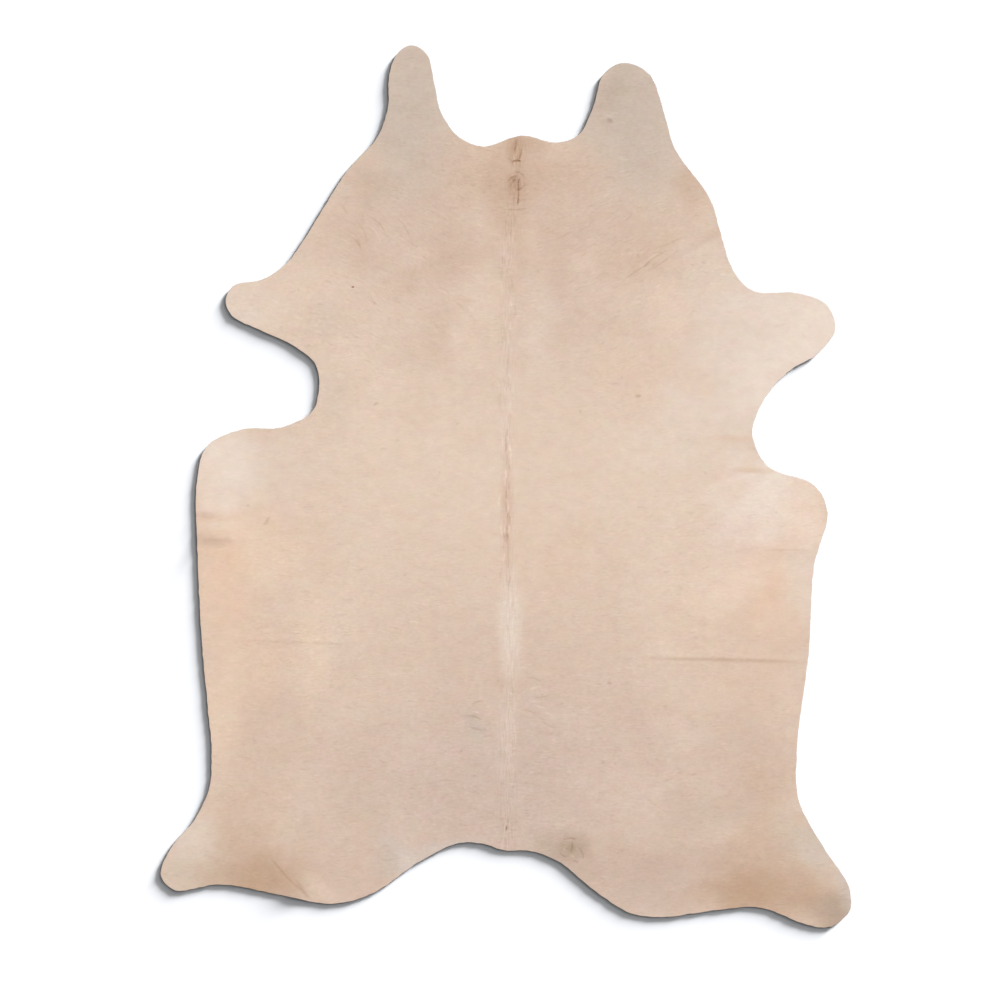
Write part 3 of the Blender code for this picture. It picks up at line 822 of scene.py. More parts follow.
    Patch("right hock, lower edge", "umber", 0.560, -1.085, 0.180, 0.065, 5, 0.65),
    Patch("left shoulder, low edge", "brown", -0.270, 0.520, 0.100, 0.060, 0, 0.26),
    Patch("right shoulder, light spot", "peach", 0.210, 0.600, 0.070, 0.060, 0, 0.25),
    Patch("right shoulder, light outside", "peach", 0.420, 0.460, 0.080, 0.140, 0, 0.38),
    Patch("right of the pale column", "brown", 0.135, 0.380, 0.060, 0.070, 0, 0.24),
    Patch("right elbow, warm", "tan", 0.500, 0.300, 0.080, 0.080, 0, 0.30),
    Patch("right elbow, warm, low", "tan", 0.560, 0.020, 0.070, 0.060, 0, 0.45),
    Patch("left side, warm spot", "brown", -0.230, 0.200, 0.080, 0.110, 0, 0.16),
    Patch("left belly, low rim", "ivory", -0.745, -0.050, 0.080, 0.045, 0, 0.45),
    Patch("right belly, low", "ivory", 0.690, -0.130, 0.090, 0.050, 0, 0.35),
    Patch("right flank, low spot", "peach", 0.420, -0.420, 0.080, 0.070, 0, 0.24),
    Patch("left rump, warm edge", "dusk", -0.370, -0.860, 0.110, 0.070, 0, 0.20),
    Patch("left hock, top", "dusk", -0.530, -0.880, 0.110, 0.080, 0, 0.20),
    Patch("left hock, low rim", "umber", -0.740, -1.020, 0.100, 0.055, -5, 0.35),
    Patch("right of the right hock", "dusk", 0.720, -0.935, 0.060, 0.045, 20, 0.22),
    Patch("right shoulder, pink", "pink", 0.240, 0.500, 0.110, 0.080, 0, 0.20),
    Patch("left shoulder, pink", "pink", -0.310, 0.640, 0.100, 0.060, 0, 0.14),
    Patch("rump, pink left", "pink", -0.220, -0.700, 0.140, 0.080, 0, 0.16),
    Patch("rump, pink right", "pink", 0.180, -0.620, 0.120, 0.080, 0, 0.16),
    # These three rows lie on the right elbow's two ripples: painted shade along their crests, and a paler
    # strip between them.
    Patch("right elbow band, upper", "tan", 0.600, 0.124, 0.100, 0.015, -2, 0.70),
    Patch("right elbow, between the bands", "ivory", 0.615, 0.088, 0.080, 0.016, -4, 0.30),
    Patch("right elbow band, lower", "tan", 0.640, 0.042, 0.080, 0.014, -2, 0.75),
)

# %% [markdown]
# Spots and scars are small, mostly a few millimetres to a centimetre or two. They are given the same way,
# with a sharper rim. A spot's shade is how much darker it is than the coat round it, and a negative one is
# paler.

# %% Spots
Spot = namedtuple("Spot", "name across along half_across half_along turn shade")
SPOTS = (
    Spot("right neck flap", 0.271, 0.953, 0.012, 0.008, -20, 0.28),
    Spot("left shoulder, dark", -0.399, 0.520, 0.0050, 0.0032, 0, 0.85),
    Spot("left side", -0.339, 0.215, 0.010, 0.005, 20, 0.22),
    Spot("left shoulder, slanted", -0.384, 0.636, 0.007, 0.014, 30, 0.14),
    Spot("left neck", -0.164, 0.823, 0.008, 0.006, 0, 0.10),
    Spot("right side", 0.344, 0.236, 0.012, 0.006, 0, 0.26),
    Spot("right side, small", 0.475, 0.122, 0.006, 0.005, 0, 0.10),
    Spot("left belly, slanted", -0.623, -0.090, 0.006, 0.017, -35, 0.22),
    Spot("left belly, small", -0.672, -0.050, 0.006, 0.005, 0, 0.16),
    Spot("left side, low", -0.350, -0.275, 0.014, 0.008, 0, 0.08),
    Spot("right loin, red", 0.269, -0.512, 0.010, 0.006, 0, 0.22),
    Spot("right rump", 0.253, -0.718, 0.008, 0.007, 0, 0.12),
    Spot("left rump, pale", -0.269, -0.862, 0.010, 0.010, 0, -0.07),
    Spot("left rump, pale, upper", -0.185, -0.818, 0.009, 0.007, 0, -0.06),
    Spot("tail slit", 0.001, -0.890, 0.0030, 0.0110, -6, 0.60),
    Spot("tail whorl", 0.170, -0.944, 0.020, 0.018, 0, 0.10),
    Spot("neck knot, left", 0.020, 0.847, 0.0050, 0.0040, 0, 0.30),
    Spot("neck knot, right", 0.036, 0.848, 0.0050, 0.0040, 0, 0.34),
    Spot("whorl eye", 0.020, 0.800, 0.008, 0.006, 20, 0.20),
    Spot("neck side, upper speck", 0.083, 0.562, 0.004, 0.007, 0, 0.14),
    Spot("neck side, lower speck", 0.086, 0.542, 0.003, 0.004, 0, 0.12),
    Spot("left flank smear", -0.772, -0.080, 0.030, 0.006, 0, 0.07),
    Spot("right flank speck", 0.810, -0.353, 0.006, 0.005, 0, 0.14),
    Spot("back knot", 0.000, -0.128, 0.011, 0.012, 0, 0.22),
    Spot("back knot, left", -0.030, -0.126, 0.022, 0.006, 0, 0.05),
)


def ellipse_share(places, mark, power):
    """1 in the middle of a patch or spot, falling to 0 at its rim; a higher power keeps it full for longer.

    The place is turned into the ellipse's own axes and divided by its half sizes, which gives its radius.
    """
    own = turned(places - np.array((mark.across, mark.along)), -mark.turn)
    radius = np.linalg.norm(own / (mark.half_across, mark.half_along), axis=1)
    return ease(1 - radius**power)


SPECKS = 80
SPECK_SEED = 23
SPECK_LOWEST = (-0.78, -0.98, 0.0020, -90, 0.05)  # across, along, half width, turn and shade
SPECK_HIGHEST = (0.78, 0.90, 0.0042, 90, 0.15)
SPECK_LENGTH = 1.6  # times its width
LIGHT_SPECK = -0.6  # times its shade, for every third one


def strewn_specks():
    """Small dark and light specks, strewn by chance over the hide."""
    chance = np.random.default_rng(SPECK_SEED)
    rows = chance.uniform(SPECK_LOWEST, SPECK_HIGHEST, (SPECKS, len(SPECK_LOWEST)))
    rows[2::3, -1] *= LIGHT_SPECK
    return [
        Spot(f"speck {number}", across, along, half, SPECK_LENGTH * half, turn, shade)
        for number, (across, along, half, turn, shade) in enumerate(rows.tolist(), 1)
    ]


MARKS = list(SPOTS) + strewn_specks()
PATCH_POWER = 1.3
SPOT_POWER = 1.6
WARP_REACH = 0.030  # patches have uneven rims: places are moved by this much before they are looked up
WARP_LUMP = 0.13
WARP_SEEDS = (11, 17)
SHARP_PATCH = 0.05  # a patch narrower than this keeps its own rim
# Painted shade in the parting's furrow, where it is deepest.
FURROW_SHADE = 0.13
SHADE_TINT = np.array((0.82, 1.00, 1.16))  # shaded hair looks browner, so it loses most of its blue
SHADE_LIMITS = (0.2, 1.2)  # of the coat's own light


def coat_colour(places):
    """The colour of the hair at each place, as linear light.

    Each patch in turn mixes its tone into what lies under it; the bands along some folds are painted shade.
    Then creases, spots and the parting's furrow darken or lighten the result: painted shade and highlights
    in the fold lines, wrinkles and furrow, and darker or paler strands, locks and spots.
    """
    warp = np.column_stack([cloud(places, WARP_LUMP, seed) for seed in WARP_SEEDS])
    moved = places + WARP_REACH * warp
    colour = np.tile(TONES["base"], (len(places), 1))
    for patch in PATCHES:
        sharp = min(patch.half_across, patch.half_along) < SHARP_PATCH
        share = patch.strength * ellipse_share(places if sharp else moved, patch, PATCH_POWER)
        colour += share[:, None] * (TONES[patch.tone] - colour)
    _, shade = crease_marks(places)
    for spot in MARKS:
        shade += spot.shade * ellipse_share(places, spot, SPOT_POWER)
    shade += FURROW_SHADE * parting_furrow(places)
    return colour * (1 - shade[:, None] * SHADE_TINT).clip(*SHADE_LIMITS)


print("patches and spots:", len(PATCHES), len(MARKS))

# %% [markdown]
# Nor is the coat equally rough. The hair is longest and most tousled on the neck, the shoulders and about
# the tail, wrinkled over the rump, and short and sleek on the belly, behind the elbows and on the middle
# of the sides. A level of 1 is the strength that the finish gives its streaks and locks.

# %% Roughness of the coat
PLAIN_GRAIN = 0.95
Grain = namedtuple("Grain", "name across along half_across half_along turn level")
GRAINS = (
    Grain("middle", 0.00, 0.05, 0.62, 0.38, 0, 0.56),
    Grain("right elbow and leg", 0.62, 0.26, 0.34, 0.40, 0, 0.34),
    Grain("right fore shank", 0.80, 0.40, 0.22, 0.16, 0, 0.40),
    Grain("left belly", -0.72, 0.00, 0.26, 0.26, 0, 0.45),
    Grain("left flank", -0.72, -0.38, 0.18, 0.30, 0, 0.70),
    Grain("right flank", 0.72, -0.32, 0.20, 0.34, 0, 0.65),
    Grain("neck", 0.04, 0.84, 0.50, 0.22, 0, 1.20),
    Grain("left shoulder", -0.28, 0.66, 0.30, 0.26, 0, 1.12),
    Grain("right shoulder", 0.30, 0.66, 0.30, 0.26, 0, 1.12),
    Grain("rump", 0.00, -0.74, 0.66, 0.34, 0, 1.20),
    Grain("tail", 0.06, -0.90, 0.20, 0.10, 0, 1.50),
    Grain("left of the cross fold", -0.52, -0.42, 0.24, 0.16, 0, 1.25),
)


def coat_grain(places):
    """How rough the coat is at each place. Each row mixes its level into what lies under it."""
    level = np.full(len(places), PLAIN_GRAIN)
    for grain in GRAINS:
        level += ellipse_share(places, grain, PATCH_POWER) * (grain.level - level)
    return level


# %% [markdown]
# ## The lie of the hair
#
# Hair lies crosswise over the sides, runs along the spine beside the parting, and sweeps up and outwards
# on the shoulders. The streaks in the finish have to follow that. So each place gets a pair of numbers:
# how far it is along its hair, and which hair line it is on. A noise that is stretched along the first
# and fine along the second then makes streaks that follow the coat.

# %% Hair lines
SWEEP = 0.16  # how far the shoulder's hair lines climb in all
SWEEP_START = 0.06
SWEEP_RUN = 0.46
SWEEP_MIDDLE = 0.62
SWEEP_REACH = 0.50
WOBBLE = 0.005
WOBBLE_LUMP = 0.16
WOBBLE_SEED = 21
PARTING_REACH = 0.040
SWEPT_MIDDLE = (0.26, 0.66)  # of the swept locks on each shoulder
SWEPT_REACH = (0.26, 0.22)


def hair_lines(places):
    """How far across each place is, and the height of its hair line: level, but for the sweep and a
    small wobble."""
    across, along = places.T
    out = ease((np.abs(across) - SWEEP_START) / SWEEP_RUN)
    climb = SWEEP * out * ridge(along - SWEEP_MIDDLE, SWEEP_REACH)
    wobble = WOBBLE * cloud(places, WOBBLE_LUMP, WOBBLE_SEED)
    return np.column_stack((across, along - climb + wobble, np.zeros(len(places))))


def parting_share(places):
    """1 on the spine, where the hair runs along the back, falling to 0 beside it."""
    off = places[:, 0] - spine_across(places[:, 1])
    return ridge(off, PARTING_REACH)


def sweep_share(places):
    """1 in the middle of each shoulder, where the long swept locks show, falling to 0 around it."""
    off_across = np.abs(places[:, 0]) - SWEPT_MIDDLE[0]
    off_along = places[:, 1] - SWEPT_MIDDLE[1]
    return ridge(off_across, SWEPT_REACH[0]) * ridge(off_along, SWEPT_REACH[1])


# %% [markdown]
# ## Where the sheet needs points
#
# The flat parts need few points and the creases many. So the hair side gets a lattice of equilateral
# triangles everywhere, and rows of closer points along each fold, each crease and the spine, with rings
# on each spot. One point at most is kept in each cell of a fine grid. The outline is a fixed edge of the
# mesh, and a constrained Delaunay triangulation joins them all.

# %% Points of the sheet
LATTICE = 0.0078
LATTICE_CLEAR = 0.8  # of the lattice's step, which inner places keep from the rim
CELL = 0.0016
UNDER_LATTICE = 0.024
UNDER_CLEAR = 0.4
UNDER_CELL = 0.005
FOLD_ROWS = np.array((-1, -0.8, -0.6, -0.4, -0.2, 0, 0.2, 0.4, 0.6, 0.8, 1))  # shares of its reach
FOLD_STEPS = 2.5  # places along a fold for each length of its reach
UNDER_FOLD_STEPS = 1.5
CREASE_ROWS = np.array((-1.3, -0.7, -0.35, 0, 0.35, 0.7, 1.3))
CREASE_STEP = 0.006
SPINE_ROWS = 0.001 * np.array((-24, -17, -11, -6.5, -3.4, -1.7, 0, 1.7, 3.4, 6.5, 11, 17, 24))
SPINE_STEP = 0.006
RINGS = ((0.0, 1), (0.5, 6), (1.0, 10))  # each ring's size, as a share of the spot, and its places
BATCH = 3000  # places that are measured at once
ONLY_INSIDE = 1  # has the triangulation keep what lies inside the loop
SAME_PLACE = 1e-7


def lattice(loop, step):
    """Rows of places this far apart over the loop's box, each row shifted by half a step from the last."""
    low, high = loop.min(axis=0), loop.max(axis=0)
    across = np.arange(low[0], high[0], step)
    along = np.arange(low[1], high[1], step * np.sqrt(3) / 2)
    x, y = np.meshgrid(across, along)
    x = x + step / 2 * (np.arange(len(along)) % 2)[:, None]
    return np.column_stack((x.ravel(), y.ravel()))


def rows_on(fold, offsets, step):
    """Rows of places beside a fold or crease, at these offsets from its crest."""
    start, run, _ = line_of(fold)
    share = np.linspace(0, 1, max(3, round(np.linalg.norm(run) / step)))
    shares, offs = np.meshgrid(share, offsets)
    return on_fold(fold, shares.ravel(), offs.ravel())


def rows_on_spine():
    """Rows of places beside the spine's wandering line."""
    along = np.arange(SPINE[-1].along, SPINE[0].along, SPINE_STEP)
    offs, alongs = np.meshgrid(SPINE_ROWS, along)
    across = spine_across(alongs) + spine_wander(alongs) + offs
    return np.column_stack((across.ravel(), alongs.ravel()))


def rings_on(spot):
    """Rings of places round a spot's middle, in its own turned axes."""
    rings = []
    for size, count in RINGS:
        angle = 2 * np.pi * np.arange(count) / count
        rings.append(size * np.column_stack((np.cos(angle), np.sin(angle))))
    own = np.concatenate(rings) * (spot.half_across, spot.half_along)
    return turned(own, spot.turn) + (spot.across, spot.along)


def cells_of(places, cell):
    """The cell of a square grid that each place falls in, as two whole numbers."""
    return np.round(places / cell).astype(int)


def one_per_cell(places, cell):
    """The first place in each cell of a grid, so that no two are much closer than a cell."""
    _, first = np.unique(cells_of(places, cell), axis=0, return_index=True)
    return places[np.sort(first)]


def in_batches(places):
    """The places in batches, so that a table of every distance between two sets stays small."""
    return np.array_split(places, max(1, len(places) // BATCH))


def well_inside(places, loop, clearance):
    """The places inside the loop and at least this far from it.

    A place is inside when a line from it along X crosses the loop an odd number of times.
    """
    ahead = np.roll(loop, -1, axis=0)
    kept = []
    for batch in in_batches(places):
        x, y = batch[:, 0, None], batch[:, 1, None]
        spans = (loop[:, 1] > y) != (ahead[:, 1] > y)
        rise = np.where(spans, ahead[:, 1] - loop[:, 1], 1.0)
        crossed = spans & (x < loop[:, 0] + (y - loop[:, 1]) * (ahead[:, 0] - loop[:, 0]) / rise)
        near = ((x - loop[:, 0]) ** 2 + (y - loop[:, 1]) ** 2).min(axis=1)
        kept.append(batch[(crossed.sum(axis=1) % 2 == 1) & (near > clearance**2)])
    return np.concatenate(kept)


def hair_side_places(loop):
    """Every inner place of the hair side, the fine rows first so that they win their cells."""
    folds = [rows_on(fold, FOLD_ROWS * fold.reach, fold.reach / FOLD_STEPS) for fold in FOLDS]
    creases = [rows_on(crease, CREASE_ROWS * crease.width, CREASE_STEP) for crease in WRINKLES]
    spots = [rings_on(spot) for spot in MARKS]
    fine = np.concatenate([rows_on_spine()] + creases + spots + folds)
    wide = lattice(loop, LATTICE)
    near = set(map(tuple, cells_of(fine, LATTICE / 2).tolist()))
    is_open = [tuple(cell) not in near for cell in cells_of(wide, LATTICE / 2).tolist()]
    every = one_per_cell(np.concatenate([fine, wide[is_open]]), CELL)
    return well_inside(every, loop, LATTICE_CLEAR * LATTICE)


def fill(loop, inner):
    """The triangles inside the loop, with a corner at each of its places and at each inner place."""
    corners = np.concatenate([loop, inner])
    order = np.arange(len(loop))
    sides = np.column_stack((order, np.roll(order, -1)))
    found = delaunay_2d_cdt(corners.tolist(), sides.tolist(), [], ONLY_INSIDE, SAME_PLACE)
    return np.array([tuple(corner) for corner in found[0]]), np.array(found[2])


# %% [markdown]
# ## The cut rim
#
# Seen from the side, the knife has left the skin as a clean upright band, and the hair lies out over it
# and rounds off. That profile is a short table: how far in from the outline each line of it lies, and how
# high it is. It is carried along the whole outline. Where it is hair, it is made uneven, so that the
# locks at the edge show.

# %% Rim profile
Line = namedtuple("Line", "name inset height hairy")
RIM = (
    Line("underside corner", 0.0016, 0.0000, 0.0),
    Line("skin, low", 0.0010, 0.0005, 0.0),
    Line("skin, high", 0.0009, 0.0021, 0.0),
    Line("hair root", 0.0004, 0.0024, 0.4),
    Line("hair tip", 0.0000, 0.0028, 1.0),
    Line("hair shoulder", 0.0008, 0.0035, 1.0),
    Line("hair, rounded off", 0.0042, 0.0038, 0.0),
)
SKIN_LINES = 2  # bands of the rim that are bare skin
LOCK_UNEVEN = 0.0005
LOCK_RISE = 0.3  # of its unevenness inwards, and a few places further round
LOCK_SHIFT = 3
LOCK_SEED = 5


def lock_wave(loop, seed):
    """An uneven in and out along the outline, about 1 high, from neighbours that differ smoothly."""
    rough = np.random.default_rng(seed).normal(size=len(loop))
    return (np.roll(rough, 1) + 2 * rough + np.roll(rough, -1)) / 3


def rim_lines(loop):
    """Each line of the rim's profile as one closed row of corners round the hide."""
    away = outward(loop)
    wave = lock_wave(loop, LOCK_SEED)
    rows = []
    for line in RIM:
        inset = line.inset + line.hairy * LOCK_UNEVEN * wave
        places = loop - inset[:, None] * away
        rise = LOCK_RISE * line.hairy * LOCK_UNEVEN * np.roll(wave, LOCK_SHIFT)
        up = lift(places) + line.height + rise
        rows.append(np.column_stack((places, up)))
    return rows


# %% [markdown]
# ## Join it into one closed sheet
#
# The hair side fills the rim's top line, the flesh side fills its bottom line, and bands of quads join
# the lines between them. The flesh side is wound the other way round, so that every face looks out.

# %% The sheet
TOP_SCALE = 0.42  # of the finish map's width for each metre of the hair side
UNDER_SCALE = 0.12
MAP_MARGIN = 0.01
MAP_SPARE = 0.01  # metres, for the unrolled rim
UNDER_WIDTH = 1.83  # metres, kept for the flesh side
EDGE_FADE = 0.03  # the fine relief comes in from the rim, and is whole this far from it


def from_rim(places, loop):
    """Roughly how far each place is from the rim, by the nearest of its places."""
    found = [
        np.sqrt(((batch[:, None] - loop[None, ::2]) ** 2).sum(axis=2).min(axis=1))
        for batch in in_batches(places)
    ]
    return np.concatenate(found)


def hair_side(loop):
    """Corners and triangles of the hair side. Its first corners are the rim's top line."""
    flat, faces = fill(loop, hair_side_places(loop))
    fade = ease(from_rim(flat, loop) / EDGE_FADE)
    level = lift(flat) + RIM[-1].height
    full = lift(flat) + thickness(flat) + relief(flat)
    return np.column_stack((flat, level + fade * (full - level))), faces


def flesh_side(loop):
    """Corners and triangles of the flesh side, with rows of corners under each fold."""
    folds = [
        rows_on(fold, FOLD_ROWS[::2] * fold.reach, fold.reach / UNDER_FOLD_STEPS) for fold in FOLDS
    ]
    inner = one_per_cell(np.concatenate(folds + [lattice(loop, UNDER_LATTICE)]), UNDER_CELL)
    flat, faces = fill(loop, well_inside(inner, loop, UNDER_CLEAR * UNDER_LATTICE))
    return np.column_stack((flat, lift(flat))), faces[:, ::-1]


def band(lower, upper):
    """Quads between two closed rows of corners, given by their numbers."""
    return np.column_stack((lower, np.roll(lower, -1), np.roll(upper, -1), upper))


def join_sheet(loop):
    """All corners, the triangles and quads between them, and each face's kind: 0 hair, 1 skin, 2 flesh."""
    rows = rim_lines(loop)
    top, top_faces = hair_side(rows[-1][:, :2])
    under, under_faces = flesh_side(rows[0][:, :2])
    top[: len(loop)] = rows[-1]
    under[: len(loop)] = rows[0]
    between = rows[1:-1]
    corners = np.concatenate([top, under] + between)
    first = len(top) + len(under)
    order = np.arange(len(loop))
    lines = [len(top) + order]
    lines += [first + number * len(loop) + order for number in range(len(between))]
    lines += [order]
    bands = [band(low, high) for low, high in zip(lines, lines[1:])]
    quads = np.concatenate(bands)
    triangles = np.concatenate([top_faces, under_faces + len(top)])
    kinds = np.concatenate(
        [
            np.zeros(len(top_faces)),
            np.full(len(under_faces), 2),
            np.repeat([1] * SKIN_LINES + [0] * (len(bands) - SKIN_LINES), len(loop)),
        ]
    ).astype(int)
    return corners, triangles, quads, kinds, len(top)


def mesh_from(name, corners, triangles, quads, kinds):
    """A mesh of these triangles and quads, smooth shaded, with each face's material."""
    mesh = bpy.data.meshes.new(name)
    corner_of = np.concatenate([triangles.ravel(), quads.ravel()])
    sizes = np.concatenate([np.full(len(triangles), 3), np.full(len(quads), 4)])
    mesh.vertices.add(len(corners))
    mesh.vertices.foreach_set("co", corners.astype(np.float32).ravel())
    mesh.loops.add(len(corner_of))
    mesh.loops.foreach_set("vertex_index", corner_of.astype(np.int32))
    mesh.polygons.add(len(sizes))
    mesh.polygons.foreach_set("loop_start", (np.cumsum(sizes) - sizes).astype(np.int32))
    mesh.polygons.foreach_set("material_index", kinds.astype(np.int32))
    mesh.polygons.foreach_set("use_smooth", np.ones(len(sizes), bool))
    mesh.update(calc_edges=True)
    mesh.validate()
    return mesh


def read_from(items, name):
    """One whole number of each item, as an array."""
    found = np.empty(len(items), np.int32)
    items.foreach_get(name, found)
    return found


def add_finish_map(mesh, corners, top_count):
    """Lays the faces out flat for the finish: the hair side as seen from above, the rim unrolled round
    it, and the flesh side smaller, beside it."""
    count = len(edge)
    away = outward(edge)
    places = corners[:, :2]
    low = places.min(axis=0)
    unrolled = places.copy()
    between = range(len(corners) - (len(RIM) - 2) * count, len(corners), count)
    starts = [top_count, *between, 0]  # the first corner of each line of the rim, from the lowest up
    run = np.zeros(count)
    for start, above in reversed(list(zip(starts, starts[1:]))):
        run += np.linalg.norm(corners[above : above + count] - corners[start : start + count], axis=1)
        unrolled[start : start + count] = places[:count] + run[:, None] * away
    flat = MAP_MARGIN + TOP_SCALE * (unrolled - low + MAP_SPARE)
    under_corner = np.array((1 - MAP_MARGIN - UNDER_SCALE * UNDER_WIDTH, MAP_MARGIN))
    under = under_corner + UNDER_SCALE * (places - low)
    corner_of = read_from(mesh.loops, "vertex_index")
    is_flesh = read_from(mesh.polygons, "material_index") == 2
    is_flesh = np.repeat(is_flesh, read_from(mesh.polygons, "loop_total"))[:, None]
    layout = mesh.uv_layers.new(name="OFBake")
    layout.data.foreach_set("uv", np.where(is_flesh, under[corner_of], flat[corner_of]).ravel())


def add_value(mesh, name, kind, field, values):
    """One value at each corner of the mesh, for the finish to read."""
    mesh.attributes.new(name, kind, "POINT").data.foreach_set(field, values.ravel())


def add_values(mesh, places):
    """The coat's colour, its hair lines and three shares, at each corner of the mesh."""
    colour = np.column_stack((coat_colour(places), np.ones(len(places))))
    add_value(mesh, "coat", "FLOAT_COLOR", "color", colour)
    add_value(mesh, "hair_lines", "FLOAT_VECTOR", "vector", hair_lines(places))
    for name, share in (("parting", parting_share), ("sweep", sweep_share), ("grain", coat_grain)):
        add_value(mesh, name, "FLOAT", "value", share(places))


# %% [markdown]
# ## The finish of the hair side
#
# Short hair on a pale hide is matt, with a faint glow at a low angle, which the shader's sheen gives.
# The colour of each corner is the coat's own. Noise then breaks it up at several sizes: blotches as wide
# as a hand, a thumb and a grain of corn, streaks of hair two centimetres long that sway a little, single
# locks, and single hairs. Beside the parting the streaks run along the back and weave. They also lift the
# surface a little, so the hair catches the light. Where a coat is darker it is warmer too, and here and
# there it is a little rosier, so each noise has its own amounts of red, green and blue.

# %% Hair material
COAT_ROUGHNESS = 0.78
COAT_SPECULAR = 0.25
COAT_SHEEN = 0.10
SHEEN_ROUGHNESS = 0.5
SWAY = 0.0045  # how far in metres a hair line sways
WEAVE = 0.0020  # and how far the hair beside the parting weaves
PATCHINESS = 0.5  # of the streaks and locks, how much their strength comes and goes
BACK_STREAKS = 3.4  # times as strong as the side's
LOCK_PEAKS = (0.40, 1.15)  # a lock shows where its noise is above the first, and is whole at the second

Mottle = namedtuple("Mottle", "name scale_across scale_along detail offset red green blue")
MOTTLES = (
    Mottle("hand wide", 9.0, 11.0, 2.0, 1.0, 0.010, 0.018, 0.024),
    Mottle("thumb wide", 34.0, 46.0, 2.0, 5.0, 0.028, 0.034, 0.040),
    Mottle("wide tone", 20.0, 26.0, 1.0, 19.0, 0.010, 0.016, 0.020),
    Mottle("widest tone", 10.0, 13.0, 1.0, 18.0, 0.010, 0.018, 0.025),
    Mottle("warmth", 26.0, 34.0, 3.0, 9.0, 0.009, 0.000, -0.006),
    Mottle("wide warmth", 22.0, 28.0, 1.0, 14.0, 0.013, 0.000, -0.008),
    Mottle("blush", 40.0, 52.0, 3.0, 4.0, -0.004, 0.013, -0.008),
    Mottle("wide blush", 18.0, 24.0, 1.0, 16.0, -0.004, 0.013, -0.008),
)
FINE_TINT = (0.90, 1.00, 1.10)  # how much the fine streaks and locks change red, green and blue
COAT_BUMP = 0.35
COAT_BUMP_HEIGHT = 0.0003


def held_value(tree, name, output="Fac"):
    """What the mesh holds at each corner under this name."""
    return add_node(tree, "ShaderNodeAttribute", {"attribute_name": name}).outputs[output]


def stretched_noise(tree, vector, stretch, detail, offset=0.0):
    """Noise of about -1 to 1, stretched by these scales."""
    mapped = add_node(
        tree, "ShaderNodeMapping", Vector=vector, Scale=stretch, Location=(offset, offset, offset)
    ).outputs["Vector"]
    noise = add_node(tree, "ShaderNodeTexNoise", Vector=mapped, Scale=1.0, Detail=detail)
    centred = arithmetic(tree, "SUBTRACT", noise.outputs["Fac"], 0.5)
    return arithmetic(tree, "MULTIPLY", centred, 4.0)


def shifted(tree, vector, axis, noise, reach):
    """The vector, moved along one axis by a noise that is this strong in metres."""
    away = add_node(tree, "ShaderNodeCombineXYZ", **{axis: arithmetic(tree, "MULTIPLY", noise, reach)})
    return arithmetic(tree, "ADD", vector, away.outputs["Vector"], kind="ShaderNodeVectorMath")


def locks(tree, vector, stretch, detail, offset, share):
    """Only the peaks of a noise, from 0 to 1, times a share: single locks with plain coat between."""
    noise = stretched_noise(tree, vector, stretch, detail, offset)
    low, high = LOCK_PEAKS
    peaks = add_node(tree, "ShaderNodeMapRange", Value=noise, From_Min=low, From_Max=high)
    return arithmetic(tree, "MULTIPLY", peaks.outputs["Result"], share)


def weighed(tree, start, *parts):
    """A start value, and each of these noises times its own amount, added up."""
    for noise, amount in parts:
        start = arithmetic(tree, "MULTIPLY_ADD", noise, amount, start)
    return start


def add_bump(tree, shader, height, strength, distance):
    """Tilts the shading as if this height were on the surface, a full step of it being this distance."""
    bump = add_node(tree, "ShaderNodeBump", Height=height, Strength=strength, Distance=distance)
    plug(tree, shader.inputs["Normal"], bump.outputs["Normal"])


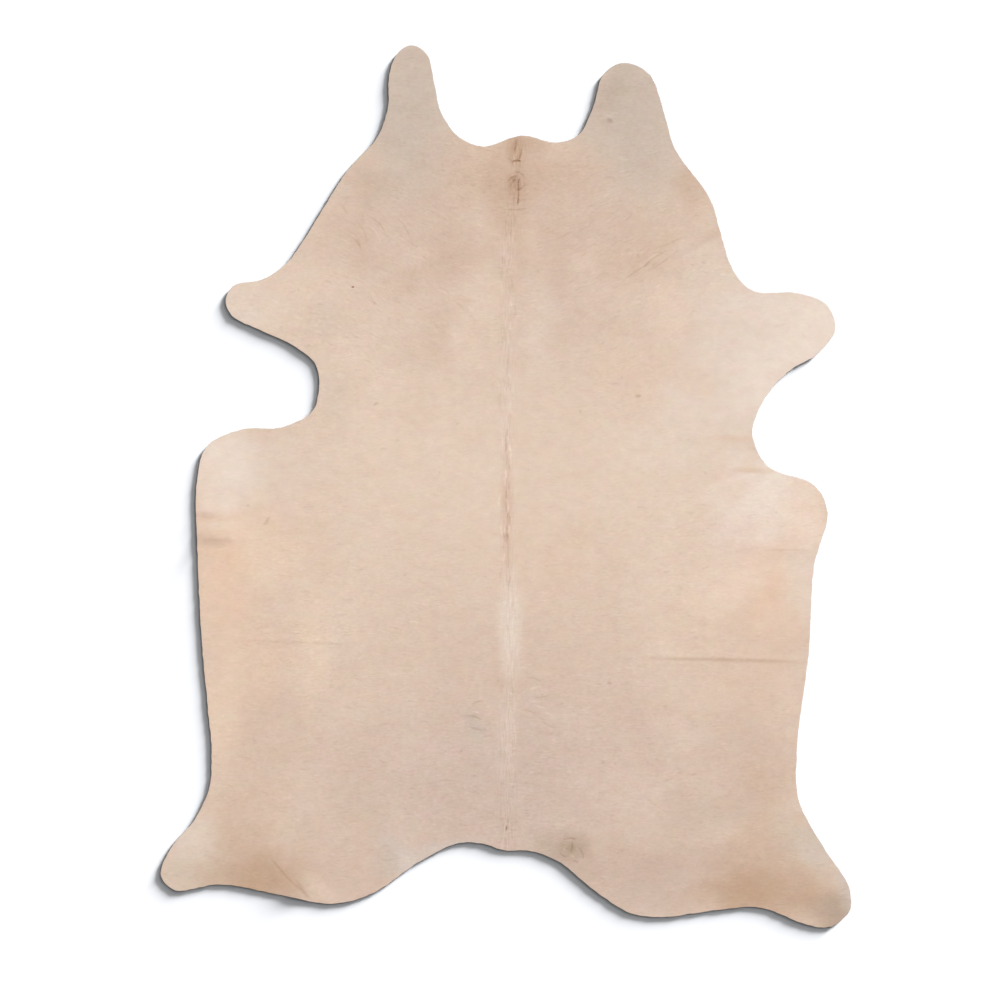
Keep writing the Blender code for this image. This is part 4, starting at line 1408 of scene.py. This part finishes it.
def hair_material():
    """The finish of the hair side and of the hair at the rim."""
    made, tree, shader = blank_material("pale_short_hair", COAT_ROUGHNESS, COAT_SPECULAR)
    plug(tree, shader.inputs["Sheen Weight"], COAT_SHEEN)
    plug(tree, shader.inputs["Sheen Roughness"], SHEEN_ROUGHNESS)
    place = add_node(tree, "ShaderNodeTexCoord").outputs["Object"]
    lines = held_value(tree, "hair_lines", "Vector")

    swayed = shifted(tree, lines, "Y", stretched_noise(tree, place, (26.0, 34.0, 1.0), 2.0, 6.0), SWAY)
    woven = shifted(tree, place, "X", stretched_noise(tree, place, (60.0, 26.0, 1.0), 1.0, 8.0), WEAVE)
    patchy = weighed(tree, 1.0, (stretched_noise(tree, place, (13.0, 17.0, 1.0), 1.0), PATCHINESS))

    side_streak = stretched_noise(tree, swayed, (52.0, 215.0, 1.0), 2.0)
    back_streak = stretched_noise(tree, woven, (270.0, 22.0, 0.0), 2.0)
    streak = add_node(
        tree,
        "ShaderNodeMix",
        {"data_type": "FLOAT"},
        Factor=held_value(tree, "parting"),
        A=arithmetic(tree, "MULTIPLY", side_streak, patchy),
        B=arithmetic(tree, "MULTIPLY", back_streak, BACK_STREAKS),
    ).outputs["Result"]
    side_hair = stretched_noise(tree, swayed, (100.0, 620.0, 1.0), 1.0, 3.0)
    dark_lock = locks(tree, swayed, (30.0, 260.0, 1.0), 1.0, 7.0, patchy)
    light_lock = locks(tree, swayed, (36.0, 300.0, 1.0), 1.0, 12.0, patchy)
    swept_lock = locks(tree, lines, (12.0, 150.0, 1.0), 2.0, 17.0, held_value(tree, "sweep"))
    fine = weighed(
        tree,
        0.0,
        (stretched_noise(tree, place, (100.0, 130.0, 1.0), 3.0, 2.0), 0.045),
        (streak, 0.032),
        (side_hair, 0.020),
        (dark_lock, -0.105),
        (light_lock, 0.090),
        (swept_lock, -0.060),
    )

    rough = arithmetic(tree, "MULTIPLY", fine, held_value(tree, "grain"))
    channels = [weighed(tree, 1.0, (rough, amount)) for amount in FINE_TINT]
    for mottle in MOTTLES:
        stretch = (mottle.scale_across, mottle.scale_along, 1.0)
        noise = stretched_noise(tree, place, stretch, mottle.detail, mottle.offset)
        amounts = (mottle.red, mottle.green, mottle.blue)
        channels = [weighed(tree, level, (noise, amount)) for level, amount in zip(channels, amounts)]
    tint = add_node(tree, "ShaderNodeCombineXYZ", **dict(zip("XYZ", channels))).outputs["Vector"]
    coat = held_value(tree, "coat", "Color")
    colour = arithmetic(tree, "MULTIPLY", coat, tint, kind="ShaderNodeVectorMath")
    plug(tree, shader.inputs["Base Color"], colour)

    rise = weighed(tree, streak, (side_hair, 0.5), (light_lock, 0.8), (dark_lock, -0.8))
    add_bump(tree, shader, rise, COAT_BUMP, COAT_BUMP_HEIGHT)
    return made


# %% [markdown]
# ## The flesh side and the cut skin
#
# Below, the hide is suede: tan, matt and faintly cloudy, with a short nap. The knife's cut shows the same
# leather, paler and denser.

# %% Suede materials
NAP_SCALE = 900.0
NAP_SHARE = 0.35
NAP_BUMP = 0.4
NAP_BUMP_HEIGHT = 0.0004
CLOUD_RANGE = (0.45, 0.95)  # clouds and nap together go from the dark tone to the light one over this


def suede_material(name, dark, light, cloud_scale):
    """Matt leather between two tones, with a cloudy change of tone and a fine nap."""
    made, tree, shader = blank_material(name, roughness=0.9, specular=0.2)
    place = add_node(tree, "ShaderNodeTexCoord").outputs["Object"]
    clouds = add_node(tree, "ShaderNodeTexNoise", Vector=place, Scale=cloud_scale, Detail=4.0)
    nap = add_node(tree, "ShaderNodeTexNoise", Vector=place, Scale=NAP_SCALE, Detail=3.0).outputs["Fac"]
    both = weighed(tree, clouds.outputs["Fac"], (nap, NAP_SHARE))
    low, high = CLOUD_RANGE
    share = add_node(tree, "ShaderNodeMapRange", Value=both, From_Min=low, From_Max=high)
    colour = add_node(
        tree,
        "ShaderNodeMix",
        {"data_type": "RGBA"},
        Factor=share.outputs["Result"],
        A=(*dark, 1.0),
        B=(*light, 1.0),
    )
    plug(tree, shader.inputs["Base Color"], colour.outputs["Result"])
    add_bump(tree, shader, nap, NAP_BUMP, NAP_BUMP_HEIGHT)
    return made


# %% [markdown]
# ## Make the hide and place it in the frame
#
# The sheet stands for the solid named hide, which is hidden, and moves with the only body.

# %% The hide
CUT_SKIN = ("cut_skin", seen_as(196, 170, 142), seen_as(222, 200, 174), 60.0)
FLESH_SIDE = ("flesh_side_suede", seen_as(190, 164, 138), seen_as(216, 194, 170), 5.0)

corners, triangles, quads, kinds, top_count = join_sheet(edge)
hide_mesh = mesh_from("cow_hide", corners, triangles, quads, kinds)
add_finish_map(hide_mesh, corners, top_count)
add_values(hide_mesh, corners[:, :2])
for finish in (hair_material(), suede_material(*CUT_SKIN), suede_material(*FLESH_SIDE)):
    hide_mesh.materials.append(finish)
cow_hide = bpy.data.objects.new("cow_hide", hide_mesh)
bpy.context.scene.collection.objects.link(cow_hide)
print("corners:", len(corners), "triangles:", len(triangles) + 2 * len(quads))

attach(cow_hide, "root")
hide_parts("hide")
